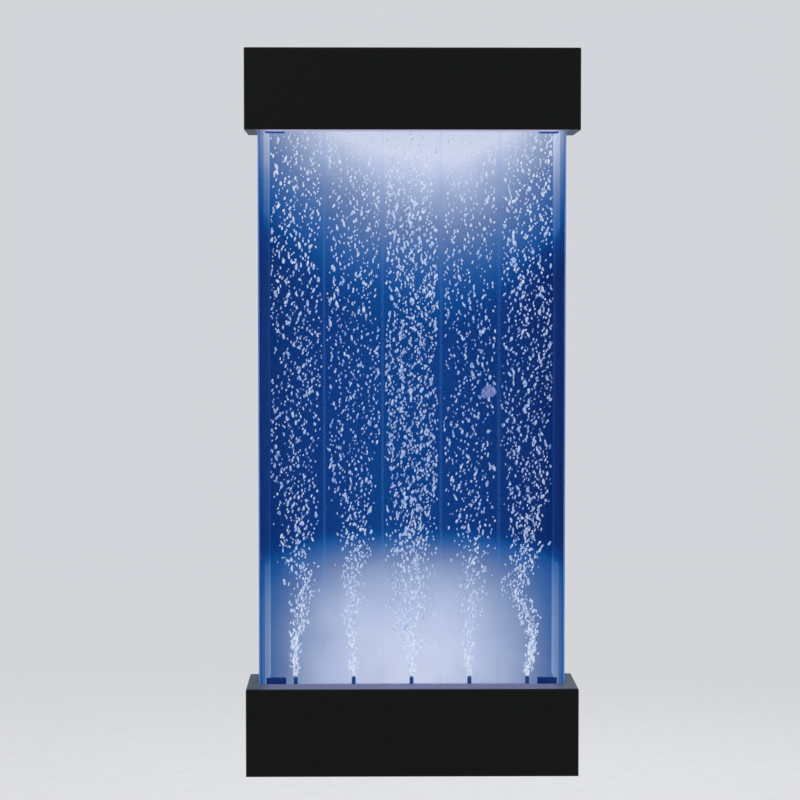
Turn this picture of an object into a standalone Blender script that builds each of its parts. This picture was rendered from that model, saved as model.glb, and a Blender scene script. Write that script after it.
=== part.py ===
"""Wall-hung bubble panel: a water tank of five channels between a hood and a base.

Metres, +Z up, front towards -Y. The origin is the middle of the wall rail's rear face.
"""

import math

import bmesh
import bpy
from mathutils import Vector

# Overall sizes
WIDTH = 0.560
HEIGHT = 1.220
DEPTH = 0.160
HOOD_HEIGHT = 0.136
BASE_HEIGHT = 0.148
MOUNT_DROP = 0.090
WALL_AIR = 0.002
SHEET = 0.0015
FOLD_INNER = 0.0005
GAP = 0.0003
OVERRUN = 0.004
TINY_MERGE = 0.00001

# Tank
TANK_REVEAL = 0.020
TANK_SETBACK = 0.051
TANK_RIM_RISE = 0.040
PANE = 0.008
PANE_EDGE = 0.0006
WATER_DEPTH = 0.052
SIDE_WALL = 0.012
EDGE_BAR = 0.006
DIVIDER = 0.004
DIVIDER_NOTCH = 0.008
CHANNELS = 5
BLOCK_WIDTH = 0.034
BLOCK_HEIGHT = 0.0175
BLOCK_DEPTH = 0.008
BLOCK_SHOW = 0.0025
GASKET = 0.0025
SLOT_CLEARANCE = 0.001
BACK_PANEL = 0.003
BACK_PANEL_RISE = 0.004

# Chassis behind and under the tank
UPRIGHT_WIDTH = 0.030
UPRIGHT_SHEET = 0.002
UPRIGHT_FOOT = 0.020
SHELF_DROP = 0.019
SHELF_SHEET = 0.002
SHELF_LIP = 0.010
FLANGE_OVER_INLET = 0.013
GUSSET_FRONT = 0.012
RAIL_SHEET = 0.0025
RAIL_LENGTH = 0.440
RAIL_WEB = 0.040
RAIL_OFFSET = 0.006
RAIL_LIP = 0.016
HOOK_CLEARANCE = 0.0005
HOOK_DROP = 0.013
HANG_WEB = 0.036
RAIL_HOLE_RADIUS = 0.003
RAIL_HOLE_PITCH = 0.300
SPACER_HEIGHT = 0.020
SPACER_RISE = 0.040
UNDERSIDE_FLANGE = 0.012

# Lights
LIGHT_WIDTH = 0.018
LIGHT_HEIGHT = 0.012
LIGHT_SHEET = 0.0012
LENS = 0.003
LENS_SINK = 0.0006
BASE_LIGHT_LENGTH = 0.460
HOOD_LIGHT_LENGTH = 0.440
BASE_LIGHT_SETBACK = 0.002
LIGHT_WINDOW_MARGIN = 0.002
BRIDGE_RISE = 0.036
BRIDGE_FLANGE = 0.018
BRIDGE_OVERHANG = 0.004

# Air nozzles and airlines
NOZZLE_FLANGE_RADIUS = 0.0065
NOZZLE_FLANGE = 0.002
NOZZLE_RADIUS = 0.0035
NOZZLE_HEIGHT = 0.0158
NOZZLE_TIP_RADIUS = 0.0024
NOZZLE_BORE_RADIUS = 0.0010
NOZZLE_STEM_RADIUS = 0.0028
NOZZLE_TAIL = 0.016
AIRLINE_RADIUS = 0.003
HOSE_RADIUS = 0.0035
AIRLINE_STRAIGHT = 0.008
SHELF_HOLE_RADIUS = 0.006

# Pan and the fittings on it
PAN_RECESS = 0.030
PAN_FLANGE = 0.012
PAN_WALL_MARGIN = 0.001
MANIFOLD_PITCH = 0.036
MANIFOLD_END = 0.014
MANIFOLD_WIDTH = 0.016
MANIFOLD_HEIGHT = 0.012
BARB_RADIUS = 0.0028
BARB_RISE = 0.010
BARB_CLEARANCE = 0.0012
LEVER_STEM_RADIUS = 0.0020
LEVER_STEM = 0.006
STEM_CLEARANCE = 0.0003
LEVER_HUB_RADIUS = 0.0055
LEVER_HUB = 0.004
LEVER_LENGTH = 0.018
LEVER_WIDTH = 0.005
LEVER_BLADE = 0.0032
DRAIN_OFFSET = 0.0125
DRAIN_PIPE_RADIUS = 0.007
DRAIN_BORE_RADIUS = 0.004
DRAIN_BODY = 0.022
DRAIN_BODY_HEIGHT = 0.020
DRAIN_SPOUT = 0.006
DRAIN_BOSS_RADIUS = 0.005
DRAIN_BOSS = 0.004
DRAIN_PIN_RADIUS = 0.0025
DRAIN_PIN = 0.005
DRAIN_HUB_RADIUS = 0.007
DRAIN_HUB = 0.0045
DRAIN_LEVER_LENGTH = 0.018
DRAIN_LEVER_WIDTH = 0.008
DRAIN_LEVER_BLADE = 0.003

# Pump
PUMP_LENGTH = 0.110
PUMP_WIDTH = 0.060
PUMP_LOWER = 0.030
PUMP_UPPER = 0.022
PUMP_WALL = 0.0025
PUMP_EDGE = 0.004
PUMP_SIDE_MARGIN = 0.035
PUMP_FRONT_MARGIN = 0.008
PUMP_FOOT_RADIUS = 0.006
PUMP_FOOT = 0.006
PUMP_FOOT_INSET = 0.014
VALVE_BOX = 0.024
VALVE_BOX_DEPTH = 0.022
ARM_THICKNESS = 0.003
ARM_HEIGHT = 0.010
ARM_LENGTH = 0.076
ARM_WALL_AIR = 0.006
ARM_PIVOT_INSET = 0.012
ARM_EYE_RADIUS = 0.0045
PIVOT_RADIUS = 0.002
MAGNET_LENGTH = 0.012
MAGNET_DEPTH = 0.007
MAGNET_HEIGHT = 0.014
MAGNET_AIR = 0.003
COIL_LENGTH = 0.022
COIL_DEPTH = 0.020
COIL_HEIGHT = 0.020
COIL_FLANGE = 0.002
COIL_FLANGE_REACH = 0.003
DIAPHRAGM_RADIUS = 0.008
DIAPHRAGM_NOSE_RADIUS = 0.0045
DIAPHRAGM_RIM = 0.002
DIAPHRAGM_RUN = 0.001
PORT_RADIUS = 0.003
PORT_LENGTH = 0.008
HOSE_SPAN = 0.019
HOSE_REACH = 0.022
HOSE_DROP_REACH = 0.030

# Electrical fittings
DRIVER_LENGTH = 0.100
DRIVER_WIDTH = 0.040
DRIVER_HEIGHT = 0.026
DRIVER_SIDE_MARGIN = 0.080
DRIVER_FRONT_MARGIN = 0.010
DRIVER_EDGE = 0.003
DRIVER_TAB = 0.010
DRIVER_TAB_SHEET = 0.0025
LEAD_RADIUS = 0.002
LEAD_BEND = 0.025
GLAND_RADIUS = 0.004
GLAND = 0.006
LEAD_HOLE_RADIUS = 0.005
LEAD_HOLE_RISE = 0.030
LEAD_HOLE_INSET = 0.014
INLET_SIDE_MARGIN = 0.160
INLET_RISE = 0.029
INLET_WIDTH = 0.028
INLET_HEIGHT = 0.020
INLET_DEPTH = 0.020
INLET_FLANGE_WIDTH = 0.046
INLET_FLANGE_HEIGHT = 0.024
INLET_FLANGE = 0.0018
INLET_WALL = 0.0022
INLET_PIN_WIDTH = 0.002
INLET_PIN_HEIGHT = 0.004
INLET_PIN_PITCH = 0.007
SWITCH_SETBACK = 0.062
SWITCH_RISE = 0.032
SWITCH_LENGTH = 0.028
SWITCH_WIDTH = 0.016
SWITCH_DEPTH = 0.016
SWITCH_BEZEL = 0.0012
SWITCH_BEZEL_REACH = 0.0025
SWITCH_WALL = 0.0018
ROCKER_CLEARANCE = 0.0005
ROCKER_STAND = 0.003
ROCKER_TILT = math.radians(8)

# Shares and counts
ROUND_STEPS = 16
SHARP_ANGLE = math.radians(35)
EDGE_SEGMENTS = 2
AIRLINE_POINTS = 18
BEND_POINTS = 5
BEND_SHARE = 0.45
TUBE_SEGMENTS = 2
HOSE_POINTS = 20

# Stations along Y, from the wall towards the viewer
FRONT_Y = -DEPTH
TANK_FRONT_Y = FRONT_Y + TANK_SETBACK
WATER_FRONT_Y = TANK_FRONT_Y + PANE
WATER_REAR_Y = WATER_FRONT_Y + WATER_DEPTH
WATER_MID_Y = (WATER_FRONT_Y + WATER_REAR_Y) / 2
TANK_REAR_Y = WATER_REAR_Y + PANE
PANEL_REAR_Y = TANK_REAR_Y + GAP + BACK_PANEL
UPRIGHT_FRONT_Y = PANEL_REAR_Y + GAP
HANG_FRONT_Y = -(RAIL_OFFSET + RAIL_SHEET + HOOK_CLEARANCE + RAIL_SHEET)
UPRIGHT_REAR_Y = HANG_FRONT_Y - GAP
FLANGE_REAR_Y = UPRIGHT_FRONT_Y - GAP
PAN_WALL_REAR_Y = FLANGE_REAR_Y - SHELF_SHEET - GAP
PAN_WALL_FRONT_Y = PAN_WALL_REAR_Y - SHEET
SHELL_INNER_FRONT_Y = FRONT_Y + SHEET + GAP

# Stations along Z, above the foot of the base
MOUNT_Z = HEIGHT - MOUNT_DROP
HOOD_BOTTOM_Z = HEIGHT - HOOD_HEIGHT
HOOD_INNER_TOP_Z = HEIGHT - SHEET
SHELF_TOP_Z = BASE_HEIGHT - SHELF_DROP
SHELF_UNDER_Z = SHELF_TOP_Z - SHELF_SHEET
TANK_BOTTOM_Z = SHELF_TOP_Z + GAP + GASKET + GAP
FLOOR_TOP_Z = TANK_BOTTOM_Z + PANE
TANK_TOP_Z = HOOD_BOTTOM_Z + TANK_RIM_RISE
LOWER_BLOCK_TOP_Z = FLOOR_TOP_Z + GAP + BLOCK_HEIGHT
UPPER_BLOCK_FOOT_Z = HOOD_BOTTOM_Z - BLOCK_SHOW
BRIDGE_Z = TANK_TOP_Z + BRIDGE_RISE
PAN_UNDER_Z = PAN_RECESS
PAN_TOP_Z = PAN_UNDER_Z + SHEET
PAN_SEAT_Z = PAN_TOP_Z + GAP
MANIFOLD_TOP_Z = PAN_UNDER_Z - GAP
MANIFOLD_FOOT_Z = MANIFOLD_TOP_Z - MANIFOLD_HEIGHT
INLET_Z = PAN_UNDER_Z + INLET_RISE
SHELF_FLANGE_FOOT_Z = INLET_Z + INLET_FLANGE_HEIGHT / 2 + FLANGE_OVER_INLET

# Places along X
HALF = WIDTH / 2
TANK_WIDTH = WIDTH - 2 * TANK_REVEAL
TANK_HALF = TANK_WIDTH / 2
BAY_HALF = TANK_HALF - SIDE_WALL
CHANNEL_HALF = BAY_HALF - EDGE_BAR
DIVIDER_PITCH = 2 * BAY_HALF / CHANNELS
SHELL_INNER = HALF - SHEET - GAP
PUMP_X = PUMP_SIDE_MARGIN + PUMP_LENGTH / 2 - HALF
INLET_X = INLET_SIDE_MARGIN - HALF
DRIVER_X = HALF - DRIVER_SIDE_MARGIN - DRIVER_LENGTH / 2
HOSE_PORT_X = PUMP_X + PUMP_LENGTH / 2 + PORT_LENGTH + HOSE_SPAN


def divider_places():
    """Middles of the dividers along X, left to right."""
    count = CHANNELS - 1
    return [(index - (count - 1) / 2) * DIVIDER_PITCH for index in range(count)]


def channel_places():
    """Middles of the bay's equal channels along X, left to right."""
    return [(index - (CHANNELS - 1) / 2) * DIVIDER_PITCH for index in range(CHANNELS)]


def valve_places():
    """Middles of the manifold's valves along X, left to right of the hose's barb."""
    return [HOSE_PORT_X + (index + 1) * MANIFOLD_PITCH for index in range(CHANNELS)]


DRAIN_X = channel_places()[0] - DRAIN_OFFSET


def clear_scene():
    for old in list(bpy.data.objects):
        bpy.data.objects.remove(old)


def collection(name):
    made = bpy.data.collections.new(name)
    bpy.context.scene.collection.children.link(made)
    return made


def finish(name, colour, roughness, metallic=0.0, alpha=1.0):
    """A Principled material with a plain colour."""
    made = bpy.data.materials.new(name)
    made.use_nodes = True
    shader = made.node_tree.nodes["Principled BSDF"]
    shader.inputs["Base Color"].default_value = (*colour, 1.0)
    shader.inputs["Roughness"].default_value = roughness
    shader.inputs["Metallic"].default_value = metallic
    shader.inputs["Alpha"].default_value = alpha
    made.diffuse_color = (*colour, alpha)
    return made


clear_scene()
PARTS = collection("bubble_wall_panel")
HELPERS = collection("cutters")
HELPERS.hide_render = True

POWDER_BLACK = finish("powder_coated_steel_black", (0.012, 0.012, 0.013), 0.45)
ZINC = finish("zinc_plated_steel", (0.55, 0.56, 0.58), 0.35, metallic=1.0)
ACRYLIC = finish("clear_acrylic", (0.80, 0.90, 1.0), 0.05, alpha=0.3)
BLOCK_BLUE = finish("navy_acrylic", (0.004, 0.02, 0.12), 0.25)
BACK_BLUE = finish("blue_acrylic_sheet", (0.01, 0.09, 0.42), 0.35)
NOZZLE_BLACK = finish("navy_nylon", (0.006, 0.012, 0.05), 0.4)
RUBBER = finish("black_rubber", (0.02, 0.02, 0.02), 0.8)
ALUMINIUM = finish("mill_aluminium", (0.75, 0.76, 0.78), 0.3, metallic=1.0)
OPAL = finish("opal_lens", (0.9, 0.9, 1.0), 0.4)
PUMP_SHELL = finish("moulded_abs_grey", (0.10, 0.11, 0.12), 0.5)
WHITE_ABS = finish("moulded_abs_white", (0.75, 0.75, 0.73), 0.45)
LIGHT_GREY = finish("moulded_nylon_grey", (0.35, 0.36, 0.38), 0.5)
SILICONE = finish("clear_silicone_tube", (0.65, 0.72, 0.78), 0.3, alpha=0.6)
COPPER = finish("copper_winding", (0.60, 0.25, 0.12), 0.4, metallic=1.0)
MAGNET_STEEL = finish("spring_steel", (0.45, 0.45, 0.47), 0.35, metallic=1.0)
BLACK_NYLON = finish("black_nylon", (0.015, 0.015, 0.016), 0.4)
LEVER_RED = finish("red_nylon", (0.45, 0.02, 0.015), 0.4)

PANEL_BASE = bpy.data.objects.new("panel_base", None)
PARTS.objects.link(PANEL_BASE)
PANEL_BASE.location = (0, 0, -MOUNT_Z)


def new_object(name, mesh_source, material, place=(0, 0, 0), helper=False):
    """Link an object that holds the bmesh, at a place measured from the foot of the base."""
    mesh = bpy.data.meshes.new(name)
    mesh_source.to_mesh(mesh)
    mesh_source.free()
    made = bpy.data.objects.new(name, mesh)
    (HELPERS if helper else PARTS).objects.link(made)
    made.parent = PANEL_BASE
    made.location = place
    mesh.shade_smooth()
    mesh.set_sharp_from_angle(angle=SHARP_ANGLE)
    if material:
        mesh.materials.append(material)
    if helper:
        made.hide_render = True
        made.display_type = "WIRE"
    return made


def cube_mesh(size):
    made = bmesh.new()
    bmesh.ops.create_cube(made, size=1)
    bmesh.ops.scale(made, vec=size, verts=made.verts)
    return made


def middle_and_size(low, high):
    low, high = Vector(low), Vector(high)
    return (low + high) / 2, high - low


def block(name, low, high, material, edge=0, segments=1):
    """A box between two corners, with its long edges eased where an edge width is given."""
    middle, size = middle_and_size(low, high)
    made = new_object(name, cube_mesh(size), material, middle)
    if edge:
        ease(made, edge, segments)
    return made


def ease(target, width, segments=EDGE_SEGMENTS):
    bevel = target.modifiers.new("ease", "BEVEL")
    bevel.width = width
    bevel.segments = segments
    bevel.limit_method = "ANGLE"
    bevel.harden_normals = False


def thicken(target, thickness, corners=False):
    """Give an open sheet its thickness, with exact planes where three of its faces meet."""
    solid = target.modifiers.new("thicken", "SOLIDIFY")
    solid.thickness = thickness
    solid.offset = -1
    solid.use_even_offset = True
    if corners:
        solid.solidify_mode = "NON_MANIFOLD"
        solid.nonmanifold_thickness_mode = "CONSTRAINTS"


def helper_block(low, high):
    middle, size = middle_and_size(low, high)
    return new_object("helper_block", cube_mesh(size), None, middle, helper=True)


def rod_mesh(radius, length, axis, steps=ROUND_STEPS):
    made = bmesh.new()
    bmesh.ops.create_cone(
        made, cap_ends=True, segments=steps, radius1=radius, radius2=radius, depth=length
    )
    turn = Vector((0, 0, 1)).rotation_difference(Vector(axis)).to_matrix()
    bmesh.ops.rotate(made, matrix=turn, verts=made.verts)
    return made


def helper_rod(start, end, radius, steps=ROUND_STEPS):
    start, end = Vector(start), Vector(end)
    source = rod_mesh(radius, (end - start).length, (end - start).normalized(), steps)
    return new_object("helper_rod", source, None, (start + end) / 2, helper=True)


def boolean(target, helper, operation):
    step = target.modifiers.new(operation.lower(), "BOOLEAN")
    step.operation = operation
    step.solver = "EXACT"
    step.object = helper


def cut(target, helper):
    boolean(target, helper, "DIFFERENCE")


def join(target, helper):
    boolean(target, helper, "UNION")


def turned(name, profile, material, place, helper=False):
    """A solid of revolution about Z from a closed loop of (radius, height) points."""
    source = bmesh.new()
    ring = [source.verts.new((radius, 0, height)) for radius, height in profile]
    for first, second in zip(ring, ring[1:] + ring[:1]):
        source.edges.new((first, second))
    made = new_object(name, source, material, place, helper)
    screw = made.modifiers.new("turn", "SCREW")
    screw.steps = ROUND_STEPS
    screw.render_steps = ROUND_STEPS
    screw.use_merge_vertices = True
    screw.merge_threshold = TINY_MERGE
    screw.use_smooth_shade = True
    return made


AXES = {
    "X": lambda along, first, second: (along, first, second),
    "Y": lambda along, first, second: (second, along, first),
    "Z": lambda along, first, second: (first, second, along),
}


def folded_strip(name, path, length, axis, thickness, material, place=(0, 0, 0), fold=True):
    """A folded sheet swept along an axis, its folds rounded or square.

    The path is one face of the sheet, in the two axes that follow the swept one, and the
    sheet's thickness lies to the left of it.
    """
    spot = AXES[axis]
    source = bmesh.new()
    start = [source.verts.new(spot(-length / 2, first, second)) for first, second in path]
    runs = [source.edges.new(pair) for pair in zip(start, start[1:])]
    swept = bmesh.ops.extrude_edge_only(source, edges=runs)["geom"]
    moved = [item for item in swept if isinstance(item, bmesh.types.BMVert)]
    bmesh.ops.translate(source, vec=spot(length, 0, 0), verts=moved)
    source.normal_update()
    along = Vector(spot(1, 0, 0))
    heading = start[1].co - start[0].co
    outward = heading.cross(along)
    source.faces.ensure_lookup_table()
    first_face = next(face for face in source.faces if set(start[:2]) <= set(face.verts))
    if first_face.normal.dot(outward) < 0:
        bmesh.ops.reverse_faces(source, faces=source.faces)
    made = new_object(name, source, material, place)
    if fold:
        ease(made, thickness + FOLD_INNER)
    thicken(made, thickness)
    return made


def folded_plate(name, outline, walls, thickness, material, place):
    """A flat plate with walls folded from runs of its rim.

    A wall is (first corner, number of edges, rise). The face on the outline's counter-clockwise
    side stays, and the thickness lies behind it.
    """
    source = bmesh.new()
    rim = [source.verts.new((x, y, 0)) for x, y in outline]
    source.faces.new(rim)
    tips = []
    for first, count, rise in walls:
        pairs = [(rim[(first + step) % len(rim)], rim[(first + step + 1) % len(rim)])
                 for step in range(count)]
        edges = [source.edges.get(pair) for pair in pairs]
        swept = bmesh.ops.extrude_edge_only(source, edges=edges)["geom"]
        moved = [item for item in swept if isinstance(item, bmesh.types.BMVert)]
        bmesh.ops.translate(source, vec=(0, 0, rise), verts=moved)
        tips.append([vert.co.copy() for vert in moved])
    made = new_object(name, source, material, place)
    thicken(made, thickness, corners=True)
    return made


def open_box(name, low, high, open_sides, material):
    """A folded sheet cover: a box whose outer faces lie on the two corners."""
    middle, size = middle_and_size(low, high)
    source = cube_mesh(size)
    source.normal_update()
    gone = [face for face in source.faces
            if any(face.normal.dot(Vector(side)) > 0.5 for side in open_sides)]
    bmesh.ops.delete(source, geom=gone, context="FACES")
    made = new_object(name, source, material, middle)
    ease(made, SHEET + FOLD_INNER)
    thicken(made, SHEET, corners=True)
    return made


def bezier_points(start, start_pull, end_pull, end, count):
    """Points along a cubic curve from start to end."""
    start, start_pull, end_pull, end = map(Vector, (start, start_pull, end_pull, end))
    points = []
    for index in range(count + 1):
        t = index / count
        points.append(
            start * (1 - t) ** 3
            + start_pull * 3 * t * (1 - t) ** 2
            + end_pull * 3 * t * t * (1 - t)
            + end * t ** 3
        )
    return points


def rounded_route(corners, bend):
    """Points along straight legs whose corners are rounded over a length of each leg."""
    corners = [Vector(corner) for corner in corners]
    points = [corners[0]]
    for before, corner, after in zip(corners, corners[1:], corners[2:]):
        back, ahead = before - corner, after - corner
        reach = min(bend, back.length * BEND_SHARE, ahead.length * BEND_SHARE)
        start = corner + back.normalized() * reach
        end = corner + ahead.normalized() * reach
        for index in range(BEND_POINTS + 1):
            t = index / BEND_POINTS
            points.append(start * (1 - t) ** 2 + corner * 2 * t * (1 - t) + end * t * t)
    points.append(corners[-1])
    return points


def tube(name, points, radius, material):
    curve = bpy.data.curves.new(name, "CURVE")
    curve.dimensions = "3D"
    curve.bevel_depth = radius
    curve.bevel_resolution = TUBE_SEGMENTS
    curve.use_fill_caps = True
    spline = curve.splines.new("POLY")
    spline.points.add(len(points) - 1)
    for target, point in zip(spline.points, points):
        target.co = (*point, 1)
    curve.materials.append(material)
    made = bpy.data.objects.new(name, curve)
    PARTS.objects.link(made)
    made.parent = PANEL_BASE
    return made


# Wall mounting


def wall_rail():
    top = RAIL_WEB / 2
    path = [(0, -top), (0, top), (-RAIL_OFFSET, top), (-RAIL_OFFSET, top + RAIL_LIP)]
    rail = folded_strip(
        "wall_rail", path, RAIL_LENGTH, "X", RAIL_SHEET, ZINC, (0, 0, MOUNT_Z), fold=False
    )
    for side in (-1, 1):
        x = side * RAIL_HOLE_PITCH / 2
        start = (x, OVERRUN, MOUNT_Z)
        end = (x, -RAIL_SHEET - OVERRUN, MOUNT_Z)
        cut(rail, helper_rod(start, end, RAIL_HOLE_RADIUS))


def hang_rail():
    step = RAIL_WEB / 2 + RAIL_LIP + GAP
    hook_y = -(RAIL_OFFSET - HOOK_CLEARANCE)
    path = [
        (HANG_FRONT_Y, step + HANG_WEB),
        (HANG_FRONT_Y, step),
        (hook_y, step),
        (hook_y, step - HOOK_DROP),
    ]
    folded_strip(
        "hang_rail", path, TANK_WIDTH, "X", RAIL_SHEET, ZINC, (0, 0, MOUNT_Z), fold=False
    )


def upright(name, side):
    outer = side * TANK_HALF
    inner = side * (TANK_HALF - UPRIGHT_WIDTH)
    path = [
        (inner, UPRIGHT_FRONT_Y),
        (outer, UPRIGHT_FRONT_Y),
        (outer, UPRIGHT_REAR_Y),
        (inner, UPRIGHT_REAR_Y),
    ]
    if side < 0:
        path.reverse()
    top = HOOD_INNER_TOP_Z - GAP
    place = (0, 0, (UPRIGHT_FOOT + top) / 2)
    length = top - UPRIGHT_FOOT
    folded_strip(name, path, length, "Z", UPRIGHT_SHEET, POWDER_BLACK, place)


def spacer_bar():
    low = (-TANK_HALF, UPRIGHT_REAR_Y + GAP, SPACER_RISE)
    high = (TANK_HALF, 0, SPACER_RISE + SPACER_HEIGHT)
    block("spacer_bar", low, high, RUBBER, edge=PANE_EDGE)


def tank_shelf():
    front = TANK_FRONT_Y - GAP
    outline = [
        (-TANK_HALF, FLANGE_REAR_Y),
        (-TANK_HALF, front),
        (TANK_HALF, front),
        (TANK_HALF, FLANGE_REAR_Y),
    ]
    walls = [(2, 3, SHELF_FLANGE_FOOT_Z - SHELF_TOP_Z), (1, 1, SHELF_LIP)]
    shelf = folded_plate(
        "tank_shelf", outline, walls, SHELF_SHEET, POWDER_BLACK, (0, 0, SHELF_TOP_Z)
    )
    for vert in shelf.data.vertices:
        if vert.co.z < 0 and math.isclose(vert.co.y, front, abs_tol=TINY_MERGE):
            vert.co.z = -GUSSET_FRONT
    low, high = light_window()
    cut(shelf, helper_block(low, high))
    for x in channel_places():
        cut(shelf, shelf_hole(x, SHELF_HOLE_RADIUS))
    cut(shelf, shelf_hole(DRAIN_X, DRAIN_PIPE_RADIUS + BARB_CLEARANCE))


def shelf_hole(x, radius):
    start = (x, WATER_MID_Y, SHELF_UNDER_Z - OVERRUN)
    end = (x, WATER_MID_Y, SHELF_TOP_Z + OVERRUN)
    return helper_rod(start, end, radius)


def base_light_middle_y():
    return WATER_REAR_Y - BASE_LIGHT_SETBACK - LIGHT_WIDTH / 2 + LIGHT_SHEET


def light_window():
    half_length = BASE_LIGHT_LENGTH / 2
    half_width = LIGHT_WIDTH / 2 - LIGHT_WINDOW_MARGIN
    y = base_light_middle_y()
    low = (-half_length, y - half_width, SHELF_UNDER_Z - OVERRUN)
    high = (half_length, y + half_width, SHELF_TOP_Z + OVERRUN)
    return low, high


# Tank


def tank_gasket():
    foot = SHELF_TOP_Z + GAP
    top = foot + GASKET
    gasket = block(
        "tank_gasket", (-TANK_HALF, TANK_FRONT_Y, foot), (TANK_HALF, TANK_REAR_Y, top), RUBBER
    )
    low = (-TANK_HALF + PANE, WATER_FRONT_Y, foot - OVERRUN)
    high = (TANK_HALF - PANE, WATER_REAR_Y, top + OVERRUN)
    cut(gasket, helper_block(low, high))


def tank_panes():
    front_low = (-TANK_HALF, TANK_FRONT_Y, TANK_BOTTOM_Z)
    front_high = (TANK_HALF, WATER_FRONT_Y, TANK_TOP_Z)
    block("tank_front_pane", front_low, front_high, ACRYLIC, edge=PANE_EDGE)
    rear_low = (-TANK_HALF, WATER_REAR_Y, TANK_BOTTOM_Z)
    rear_high = (TANK_HALF, TANK_REAR_Y, TANK_TOP_Z)
    block("tank_rear_pane", rear_low, rear_high, ACRYLIC, edge=PANE_EDGE)


def tank_side(name, side):
    """A side wall whose inner bar stands between the two corner blocks."""
    low = (min(side * TANK_HALF, side * BAY_HALF), WATER_FRONT_Y + GAP, TANK_BOTTOM_Z)
    high = (max(side * TANK_HALF, side * BAY_HALF), WATER_REAR_Y - GAP, TANK_TOP_Z)
    wall = block(name, low, high, ACRYLIC)
    bar_outer = side * (BAY_HALF + SIDE_WALL / 2)
    bar_inner = side * CHANNEL_HALF
    bar_low = (min(bar_outer, bar_inner), WATER_FRONT_Y + GAP, LOWER_BLOCK_TOP_Z + GAP)
    bar_high = (max(bar_outer, bar_inner), WATER_REAR_Y - GAP, UPPER_BLOCK_FOOT_Z - GAP)
    join(wall, helper_block(bar_low, bar_high))


def tank_floor():
    low = (-BAY_HALF + GAP, WATER_FRONT_Y + GAP, TANK_BOTTOM_Z)
    high = (BAY_HALF - GAP, WATER_REAR_Y - GAP, FLOOR_TOP_Z)
    floor = block("tank_floor", low, high, ACRYLIC)
    for x in channel_places():
        cut(floor, floor_hole(x, NOZZLE_STEM_RADIUS + GAP))
    cut(floor, floor_hole(DRAIN_X, DRAIN_BORE_RADIUS))


def floor_hole(x, radius):
    start = (x, WATER_MID_Y, TANK_BOTTOM_Z - OVERRUN)
    end = (x, WATER_MID_Y, FLOOR_TOP_Z + OVERRUN)
    return helper_rod(start, end, radius)


def divider(name, x):
    """A thin wall, notched at its foot so that the water stands level in all channels."""
    foot = FLOOR_TOP_Z + GAP
    low = (x - DIVIDER / 2, WATER_FRONT_Y + GAP, foot)
    high = (x + DIVIDER / 2, WATER_REAR_Y - GAP, TANK_TOP_Z)
    wall = block(name, low, high, ACRYLIC)
    notch_low = (x - DIVIDER, WATER_REAR_Y - GAP - DIVIDER_NOTCH, foot - OVERRUN)
    notch_high = (x + DIVIDER, WATER_REAR_Y + OVERRUN, foot + DIVIDER_NOTCH)
    cut(wall, helper_block(notch_low, notch_high))


def corner_block(name, side, foot):
    outer = side * (BAY_HALF - GAP)
    inner = side * (BAY_HALF - BLOCK_WIDTH)
    low = (min(outer, inner), WATER_FRONT_Y + GAP, foot)
    high = (max(outer, inner), WATER_FRONT_Y + GAP + BLOCK_DEPTH, foot + BLOCK_HEIGHT)
    block(name, low, high, BLOCK_BLUE, edge=PANE_EDGE)


def air_nozzle(name, x):
    """A turned nozzle: a flange on the tank floor, a tip above and a tail below."""
    flange_foot = GAP
    flange_top = flange_foot + NOZZLE_FLANGE
    tail = -(PANE + NOZZLE_TAIL)
    shoulder = NOZZLE_HEIGHT - NOZZLE_FLANGE
    profile = [
        (NOZZLE_TIP_RADIUS, NOZZLE_HEIGHT),
        (NOZZLE_RADIUS, shoulder),
        (NOZZLE_RADIUS, flange_top),
        (NOZZLE_FLANGE_RADIUS, flange_top),
        (NOZZLE_FLANGE_RADIUS, flange_foot),
        (NOZZLE_STEM_RADIUS, flange_foot),
        (NOZZLE_STEM_RADIUS, tail),
        (NOZZLE_BORE_RADIUS, tail),
        (NOZZLE_BORE_RADIUS, NOZZLE_HEIGHT),
    ]
    turned(name, profile, NOZZLE_BLACK, (x, WATER_MID_Y, FLOOR_TOP_Z))


def back_panel():
    low = (-TANK_HALF, TANK_REAR_Y + GAP, SHELF_TOP_Z + GAP)
    high = (TANK_HALF, PANEL_REAR_Y, TANK_TOP_Z + BACK_PANEL_RISE)
    block("back_panel", low, high, BACK_BLUE)


# Covers


def hood_shell():
    low = (-HALF, FRONT_Y, HOOD_BOTTOM_Z)
    high = (HALF, -WALL_AIR, HEIGHT)
    open_box("hood_shell", low, high, [(0, 0, -1), (0, 1, 0)], POWDER_BLACK)


def slot_outline():
    """Rim of a plate with a slot, open to the rear, that clears the tank."""
    slot_half = TANK_HALF + SLOT_CLEARANCE
    slot_front = TANK_FRONT_Y - SLOT_CLEARANCE
    return [
        (-SHELL_INNER, -WALL_AIR),
        (-SHELL_INNER, SHELL_INNER_FRONT_Y),
        (SHELL_INNER, SHELL_INNER_FRONT_Y),
        (SHELL_INNER, -WALL_AIR),
        (slot_half, -WALL_AIR),
        (slot_half, slot_front),
        (-slot_half, slot_front),
        (-slot_half, -WALL_AIR),
    ]


def hood_underside():
    outline = slot_outline()
    outline.reverse()
    first = len(outline) - 4
    walls = [(first, 3, UNDERSIDE_FLANGE)]
    folded_plate(
        "hood_underside", outline, walls, SHEET, POWDER_BLACK, (0, 0, HOOD_BOTTOM_Z)
    )


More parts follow.
